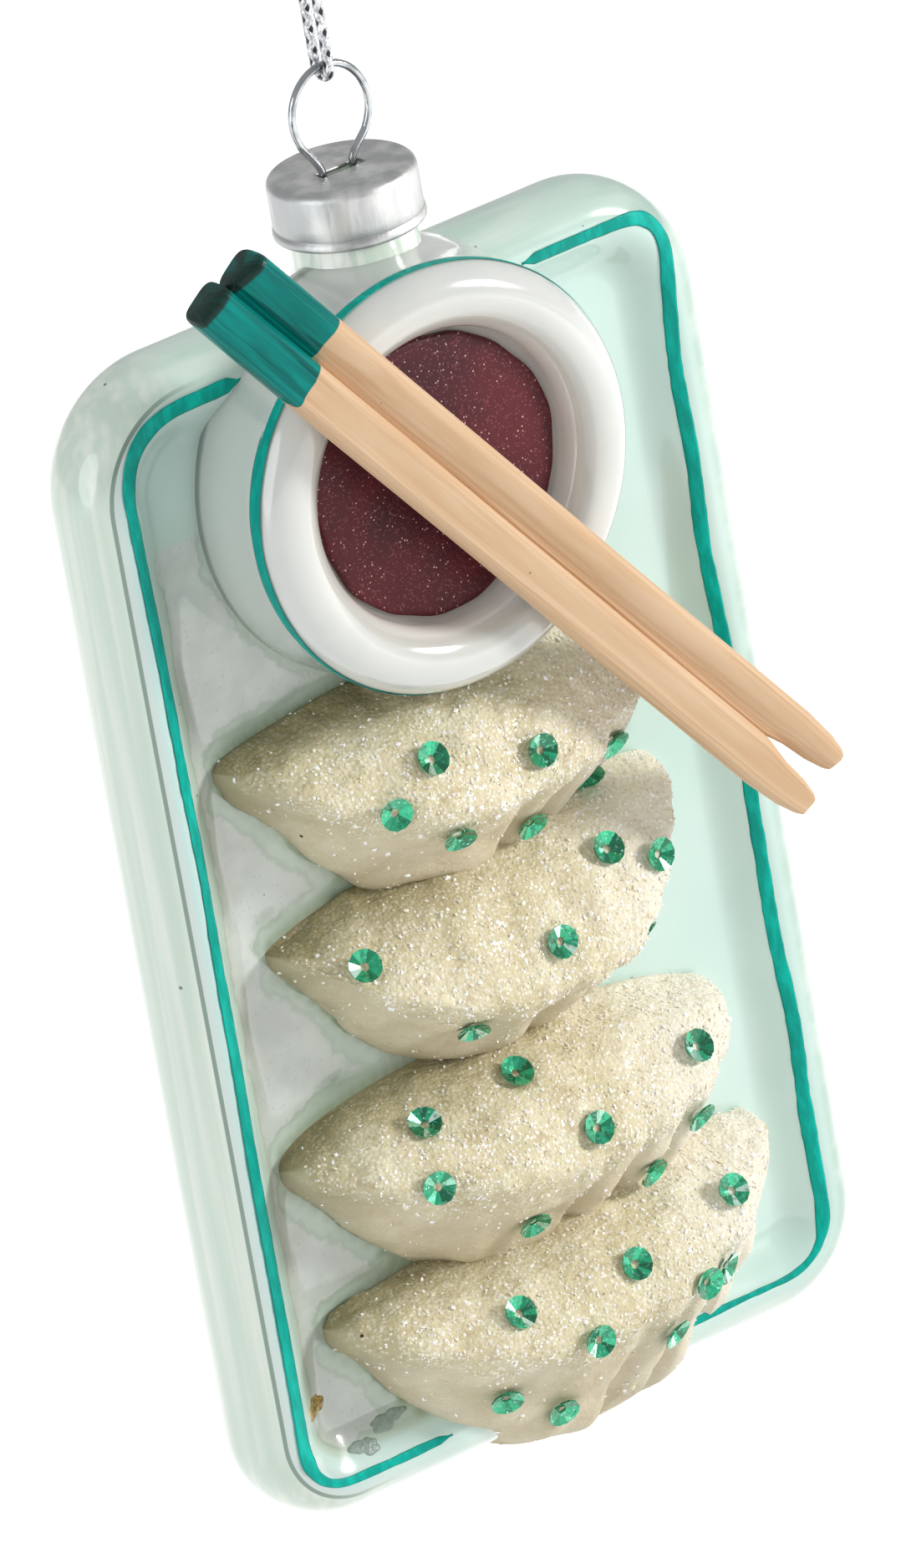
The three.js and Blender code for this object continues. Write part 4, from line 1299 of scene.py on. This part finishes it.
def grid_normals(points):
    """Directions straight out of a grid of points, towards the front."""
    normal = grid_cross(points)
    normal = normal / np.maximum(np.linalg.norm(normal, axis=-1, keepdims=True), 1e-9)
    return normal * -np.sign(normal[..., 1:2] + 1e-9)


def frosted_grid(shape, seed, rows=320, columns=150):
    """A dumpling's skin with uneven hand-formed swells, faint folds down the flank, and
    coarse frost that is thick above the crest and thin below it. Also gives the
    frost's thickness."""
    along = (0.5 - 0.5 * np.cos(np.pi * (np.arange(rows) + 1) / (rows + 1)))[:, None]
    across = np.linspace(-1, 1, columns)[None, :]
    smooth = dumpling_skin(shape, along, across)
    normal = grid_normals(smooth)
    edge = np.clip((1 - np.abs(across)) / 0.08, 0, 1)
    edge = edge * np.clip(np.minimum(along, 1 - along) / 0.02, 0, 1)
    patchy = lump(smooth, 2.6, seed)
    frost = np.clip(1 - step(across + 0.1 * patchy, 0.05, 0.3) * 0.85, 0, 1) * edge
    swells = 0.55 * lump(smooth, 7.0, seed + 1) + 0.42 * lump(smooth, 3.4, seed + 2)
    folds = 0.3 * lump(smooth * (1, 1, 0.35), 2.4, seed + 5) * (1 - frost)
    clumps = 0.24 * lump(smooth, 1.5, seed + 3) + 0.14 * np.abs(lump(smooth, 0.6, seed + 4))
    push = edge * (swells + folds + (0.15 + 0.85 * frost) * clumps)
    return smooth + normal * push[..., None], normal, frost


def make_dumpling(number, shape, finish):
    """Closes the frosted skin with a base that dips into the tray's floor. The ear is
    the right end, whitened partly as painted light, and painted shade with an olive tint
    lies over the left of the upper side and round the left tip, weaker on each dumpling
    further down."""
    points, normal, frost = frosted_grid(shape, 40 + 10 * number)
    base = points[:, [-1, 0]] * (1, 0, 1) + (0, floor_y + 0.5, 0)
    rings = np.concatenate([points, base], axis=1)
    field = np.concatenate([frost, np.zeros((len(frost), 2))], axis=1)
    tips = [
        (DUMPLING_LENGTH * x, floor_y, stack_top_z + DUMPLING_LENGTH * z)
        for x, z in (shape["left"], shape["right"])
    ]
    along = (rings[..., 0] - tips[0][0]) / (tips[1][0] - tips[0][0])
    upward = np.linspace(1, -1.03, rings.shape[1])
    # Painted shade with an olive tint: the left of the upper side and round the left tip.
    dusk = step(upward, 0.3, 0.85) * (1 - step(along, 0.3, 0.7))
    dusk = dusk + 0.7 * (1 - step(along, 0.0, 0.16))
    dusk = np.clip(dusk * (1.15 - 0.1 * number), 0, 1)
    # The ear's whitening: denser frost and painted light.
    ear = step(along, 0.58, 0.9)
    mesh = skin(f"frosted_dumpling_{number}", rings, *tips, frost=field, ear=ear, dusk=dusk)
    add_piece(mesh, "glass", finish, [f"dumpling_{number}"])
    return points, normal, frost * (1 - 0.9 * dusk[:, :-2])


# Sequins and frost crystals

def spin_frames(normals, generator):
    """For each direction, two more that are square to it and to each other, turned by
    a random angle."""
    spread = generator.normal(size=normals.shape)
    side = unit(np.cross(normals, spread))
    return side, np.cross(normals, side)


def make_sequins(seats, normals, finish):
    """One faceted cup with a hole for each seat. A cup's section is a sloping strip
    that rises from the hole to the rim, and each facet is flat."""
    generator = np.random.default_rng(7)
    facets = 12
    normals = unit(normals + 0.05 * generator.normal(size=normals.shape))
    side, above = spin_frames(normals, generator)
    section = np.array([
        (SEQUIN_HOLE, 0), (SEQUIN_RADIUS, SEQUIN_CUP),
        (SEQUIN_RADIUS, SEQUIN_CUP + SEQUIN_THICKNESS), (SEQUIN_HOLE, SEQUIN_THICKNESS),
    ])
    turn = full_turn(facets)
    radius, lift = section.T[:, :, None]
    cup = points_at(radius * np.cos(turn), radius * np.sin(turn), lift).reshape(-1, 3)
    points = seats[:, None] + cup @ np.stack([side, above, normals], axis=1)
    mesh = strewn("cup_sequins", points, ring_quads(len(section), facets, loop=True))
    # Each facet's random tone, which the sequin finish turns into painted light, shade and
    # highlight.
    give_field(mesh, "tone", "FACE", generator.uniform(0, 1, len(mesh.polygons)))
    nodes = [
        f"sequin_{row}_{place}"
        for row, shape in enumerate(DUMPLINGS, 1)
        for place in range(1, len(shape["sequins"]) + 1)
    ]
    add_piece(mesh, "glass", finish, nodes)


def make_crystals(name, points, normal, frost, seats, finish, seed, count=1500):
    """Small flattened octahedra strewn over a frosted skin. The chance of a place is
    its area times the frost's thickness, and none lies under a sequin."""
    generator = np.random.default_rng(seed)
    area = np.linalg.norm(grid_cross(points), axis=-1)
    chance = (area * (0.06 + 0.94 * frost**2) * (frost > 0)).reshape(-1)
    picked = generator.choice(len(chance), count, replace=False, p=chance / chance.sum())
    spots, out = points.reshape(-1, 3)[picked], normal.reshape(-1, 3)[picked]
    nearest_seat = np.linalg.norm(spots[:, None] - seats[None], axis=-1).min(axis=1)
    clear = nearest_seat > SEQUIN_RADIUS + 0.1
    spots, out = spots[clear], out[clear]
    tilted = unit(out + 0.7 * generator.normal(size=out.shape))
    side, above = spin_frames(tilted, generator)
    size = generator.uniform(0.11, 0.22, len(spots))
    size = size * (1 + 0.7 * (generator.random(len(spots)) < 0.15))
    form = np.array([
        (1, 0, 0), (-1, 0, 0), (0, 0.8, 0), (0, -0.8, 0), (0, 0, 0.4), (0, 0, -0.4),
    ])
    basis = np.stack([side, above, tilted], axis=1)
    corners = spots[:, None] + out[:, None] * 0.04 + (form * size[:, None, None]) @ basis
    faces = np.array([
        (0, 2, 4), (2, 1, 4), (1, 3, 4), (3, 0, 4), (2, 0, 5), (1, 2, 5), (3, 1, 5), (0, 3, 5),
    ])
    mesh = strewn(name, corners, faces)
    give_field(mesh, "warmth", "POINT", np.repeat(generator.random(len(spots)) ** 3, len(form)))
    add_piece(mesh, "glass", finish)


def sequin_seats(shape, points, normal):
    """Places of a dumpling's sequins on its frosted skin, and the directions they face:
    the mean of the normals nearby, leaned towards the front."""
    smooth = dumpling_skin(shape, *np.array(shape["sequins"]).T)
    flat = points.reshape(-1, 3)
    nearest = np.linalg.norm(smooth[:, None] - flat[None], axis=-1).argmin(axis=1)
    near = np.linalg.norm(flat[nearest][:, None] - flat[None], axis=-1) < 1.3
    facing = unit(unit(near.astype(float) @ normal.reshape(-1, 3)) - (0, SEQUIN_LEAN, 0))
    return flat[nearest] + facing * 0.12, facing


# Chopsticks

def rounded_square(wave):
    """A cosine or sine to the power of a half, with its sign kept, which turns a circle
    into a square with soft corners."""
    return np.sign(wave) * np.abs(wave) ** 0.5


def stick_rings(length, side, rows=260, sides=44):
    """A soft square section carried along X, its width by the stick's taper. The side
    that faces the other stick reaches as far as half the distance between the two, so
    that they touch up to their tips. The front is planed: from a ridge at a share of
    the half width, it falls away by some millimetres towards the stick's lower edge."""
    run = length * (0.5 - 0.5 * np.cos(np.pi * np.linspace(0, 1, rows)[:, None]))
    stations, widths = zip(
        (0, STICK_THICK_END * 0.9), (0.2, STICK_THICK_END * 0.97), (0.6, STICK_THICK_END),
        (length / 6, STICK_THICK_END), (length / 2, (STICK_THICK_END + STICK_THIN_END) / 2),
        (length - STICK_TAPER, STICK_THIN_END), (length - 2.4, 2.9), (length - 0.7, STICK_TIP),
        (length - 0.15, STICK_TIP * 0.8), (length, STICK_TIP * 0.5),
    )
    width = np.interp(run, stations, widths)
    turn = 2 * np.pi * (np.arange(sides) + 0.5) / sides
    cos, sin = np.cos(turn), np.sin(turn)
    touching = STICK_THICK_END / 2 + SEAT_GAP / 2 + STICK_TIP_SPREAD / 2 * run / length
    free = step(run, length - 9, length - 5)
    inner = np.maximum(width / 2, touching * (1 - free) + width / 2 * free)
    z = np.where(sin * side < 0, inner, width / 2) * rounded_square(sin)
    across = side * z / (width / 2)
    ridge, fall = (0.25, 1.3) if side > 0 else (-0.75, 0.5)
    cut = np.clip(side * (ridge - across) / 1.2, 0, 1)
    y = width / 2 * rounded_square(cos)
    y = y + fall * cut * (cos < 0) * np.abs(cos) ** 0.5 * width / STICK_THICK_END
    return points_at(run, y, z), run, turn


def make_chopstick(name, side, teal_length, seed, finish):
    """Shapes a stick along X and lays it across the bowl's rim. Side is 1 for the upper
    stick and -1 for the lower. The teal coat ends at a ragged line round the stick."""
    extra = 0 if side > 0 else LOWER_STICK_EXTRA
    length = STICK_LENGTH + extra
    rings, run, turn = stick_rings(length, side)
    waves = 0.07 * lump(rings * (0.12, 1, 1), 2.2, seed)
    rings = rings * (1 + waves[..., None] * (0, 0.5, 0.5))
    ragged = teal_length + 0.4 * lump(rings * (0, 1, 1), 1.8, seed + 1) + 0.2 * np.sin(2 * turn)
    teal = 1 - step(run, ragged - 0.25, ragged + 0.25)
    butt = (1 - step(run, 0.25, 0.8)) * np.clip(0.75 + 0.7 * lump(rings, 1.5, seed + 2), 0, 1)
    fan = -side * math.atan2(STICK_TIP_SPREAD / 2, STICK_LENGTH)
    pitch = STICK_THICK_END + SEAT_GAP
    slope = math.radians(STICK_SLOPE)
    shift = (-STICK_PAST_BOWL - extra, 0, side * pitch / 2 - STICK_BELOW_CENTRE)

    def turned(points, angle):
        """Points turned about Y."""
        x, y, z = points[..., 0], points[..., 1], points[..., 2]
        cos, sin = math.cos(angle), math.sin(angle)
        return points_at(x * cos + z * sin, y, z * cos - x * sin)

    def laid(points):
        """The two sticks fan out, run past the bowl's middle and lie across its slope."""
        across_bowl = turned(turned(points, fan) + shift, slope)
        return across_bowl + (BOWL_CENTRE_X, stick_y, bowl_centre_z)

    ends = [laid(np.array([end, 0, 0])) for end in (0.0, length)]
    mesh = skin(
        name.replace("chopstick", "stick"), laid(rings), *ends,
        teal=teal, butt=butt, run=run, turn=turn + seed,
    )
    add_piece(mesh, "glass", finish, [name])


# Small blemishes on the glass

def make_blot(name, spot, reach, seed, finish):
    """A flat uneven dab on the tray's front: a disc whose edge wanders by sines, its
    middle a little proud of the glass."""
    turn = full_turn(40)
    wander = 1 + 0.22 * np.sin(2 * turn + seed) + 0.14 * np.sin(3 * turn + 2 * seed)
    wander = wander + 0.08 * np.sin(7 * turn)
    share, proud = np.array([
        (1, -BLOT_SUNK), (1, 0), (0.85, 0.05), (0.55, 0.08), (0.25, BLOT_PROUD),
    ]).T[:, :, None]
    middle_x, middle_z = spot[0], spot[1] + tray_middle_z
    x = middle_x + reach[0] * wander * share * np.cos(turn)
    z = middle_z + reach[1] * wander * share * np.sin(turn)
    rings = points_at(x, tray_front(x, z) - proud, z)
    height = tray_front(middle_x, middle_z)
    ends = [(middle_x, height + drop, middle_z) for drop in (BLOT_SUNK, -BLOT_PROUD)]
    add_piece(skin(name, rings, *ends), "glass", finish)


def make_glue(finish):
    """A bead of glue where the lower stick lies on the bowl: a flattened ball whose
    outline wanders by sines."""
    turn = full_turn(28)
    tilt = np.linspace(-np.pi / 2, np.pi / 2, 16)[1:-1, None]
    wander = 1 + 0.18 * np.sin(2 * turn + 1) + 0.12 * np.sin(3 * turn)
    middle = np.array([-14.0, floor_y - 9.9, tray_middle_z + 47.9])
    reach = np.cos(tilt) * wander
    ball = points_at(1.5 * reach * np.cos(turn), 0.7 * np.sin(tilt), reach * np.sin(turn))
    mesh = skin("glue_bead", middle + ball, middle - (0, 0.7, 0), middle + (0, 0.7, 0))
    add_piece(mesh, "glass", finish)


# Studio

FLOOR_BELOW = 45
FLOOR_REACH = 4000
KEY_POWER = 4.1
SIDE_POWER = 2.8
SKY_STRENGTH = 0.55


def whitened_floor():
    """A pale floor that keeps the object's shadow, and that the camera, mirrors and
    glass see nearly white."""
    f = Finish("pale floor")
    seen = f.node("ShaderNodeLightPath", output="Is Camera Ray")
    seen = seen + seen.sibling("Is Glossy Ray") + seen.sibling("Is Transmission Ray")
    seen = seen.maths("MINIMUM", seen, 1.0)
    matt = f.node("ShaderNodeBsdfDiffuse", {}, {"Color": (0.86, 0.86, 0.85, 1)})
    white = f.node("ShaderNodeEmission", {}, {"Color": (1, 1, 1, 1), "Strength": 0.75})
    lit = f.node("ShaderNodeAddShader", {}, {0: matt, 1: white})
    mixed = f.node("ShaderNodeMixShader", {}, {0: seen, 1: matt, 2: lit})
    f.node("ShaderNodeOutputMaterial", {}, {"Surface": mixed})
    return f.material


def make_studio():
    """A wide floor, a soft key light from the right and front, and an even sky."""
    floor_z = tray_low[2] - FLOOR_BELOW
    mesh = bpy.data.meshes.new("studio_floor")
    sides = [(-1, -1), (1, -1), (1, 1), (-1, 1)]
    corners = [(x * FLOOR_REACH, y * FLOOR_REACH, floor_z) for x, y in sides]
    mesh.from_pydata((np.array(corners) * MM).tolist(), [], [(0, 1, 2, 3)])
    mesh.materials.append(whitened_floor())
    floor = bpy.data.objects.new("studio_floor", mesh)
    bpy.context.scene.collection.objects.link(floor)

    def lamp(name, direction, distance, size, power, colour):
        """A round area light that faces the tray's middle."""
        light = bpy.data.lights.new(name, "AREA")
        light.shape = "DISK"
        light.size = size * MM
        light.energy = power
        light.color = colour
        holder = bpy.data.objects.new(name, light)
        towards = Vector(direction).normalized()
        holder.location = (Vector((0, 0, tray_middle_z)) + towards * distance) * MM
        holder.rotation_mode = "QUATERNION"
        holder.rotation_quaternion = towards.to_track_quat("Z", "Y")
        bpy.context.scene.collection.objects.link(holder)

    lamp("key_light", (0.7, -0.63, 0.33), 800, 190, KEY_POWER, (1, 0.985, 0.96))
    lamp("side_light", (-1, -0.15, 0.25), 1000, 700, SIDE_POWER, (0.97, 0.99, 1))

    world = bpy.data.worlds.new("studio_sky")
    world.use_nodes = True
    nodes, links = world.node_tree.nodes, world.node_tree.links
    light_path = nodes.new("ShaderNodeLightPath")
    strength = nodes.new("ShaderNodeMapRange")
    strength.inputs["To Min"].default_value = SKY_STRENGTH
    strength.inputs["To Max"].default_value = 1.0
    links.new(light_path.outputs["Is Camera Ray"], strength.inputs["Value"])
    links.new(strength.outputs[0], nodes["Background"].inputs["Strength"])
    nodes["Background"].inputs["Color"].default_value = (1, 1, 1, 1)
    bpy.context.scene.world = world
    bpy.context.scene.view_settings.view_transform = "Standard"


def build():
    """Puts the camera, the pieces and the studio in the scene."""
    place_camera()
    make_cord(silver_cord())
    make_wire(steel_wire())
    make_cap(satin_aluminium())
    make_tray(mint_glass())
    make_neck(neck_glass())
    make_bowl(white_glass())
    make_sauce(sauce_paint())
    teal = teal_paint()
    left_side = [(-15.5, 50.2), (-28.2, 49.9), (-27.6, 24), (-28.5, -50), (-13.5, -49.9)]
    right_side = [(9, -49.9), (28.1, -49.9), (27.6, 30), (28.6, 49.9), (14, 49.9)]
    make_tray_stripe("left_stripe", left_side, (7, 9, 5), broad=1.6, finish=teal, seed=61)
    make_tray_stripe("right_stripe", right_side, (6, 8, 4.5), broad=1.3, finish=teal, seed=71)
    make_bowl_line(teal)
    smudge = plain_finish("grey smudge", "98aaa2", "87998f", roughness=0.3)
    make_blot("upper_smudge", (-18.6, -46.9), reach=(1.7, 0.7), seed=0.4, finish=smudge)
    make_blot("lower_smudge", (-21.7, -48.0), reach=(1.3, 0.7), seed=2.7, finish=smudge)
    gold = plain_finish("gold leaf", "c7a95c", "6e5a30", roughness=0.3, metallic=0.6)
    make_blot("gold_fleck", (-25.4, -42.8), reach=(0.95, 1.1), seed=1.2, finish=gold)
    make_glue(plain_finish("amber glue", "dd9a4c", "b9742f", roughness=0.15))
    cream, crystal = frosted_cream(), frost_crystal()
    seats, facings = [], []
    for number, shape in enumerate(DUMPLINGS, 1):
        points, normal, frost = make_dumpling(number, shape, cream)
        seat, facing = sequin_seats(shape, points, normal)
        make_crystals(f"frost_{number}", points, normal, frost, seat, crystal, 90 + number)
        seats.append(seat)
        facings.append(facing)
    make_sequins(np.concatenate(seats), np.concatenate(facings), emerald_sequin())
    wood = painted_wood()
    make_chopstick("chopstick_upper", side=1, teal_length=10.2, seed=81, finish=wood)
    make_chopstick("chopstick_lower", side=-1, teal_length=12.8, seed=85, finish=wood)
    make_studio()


build()
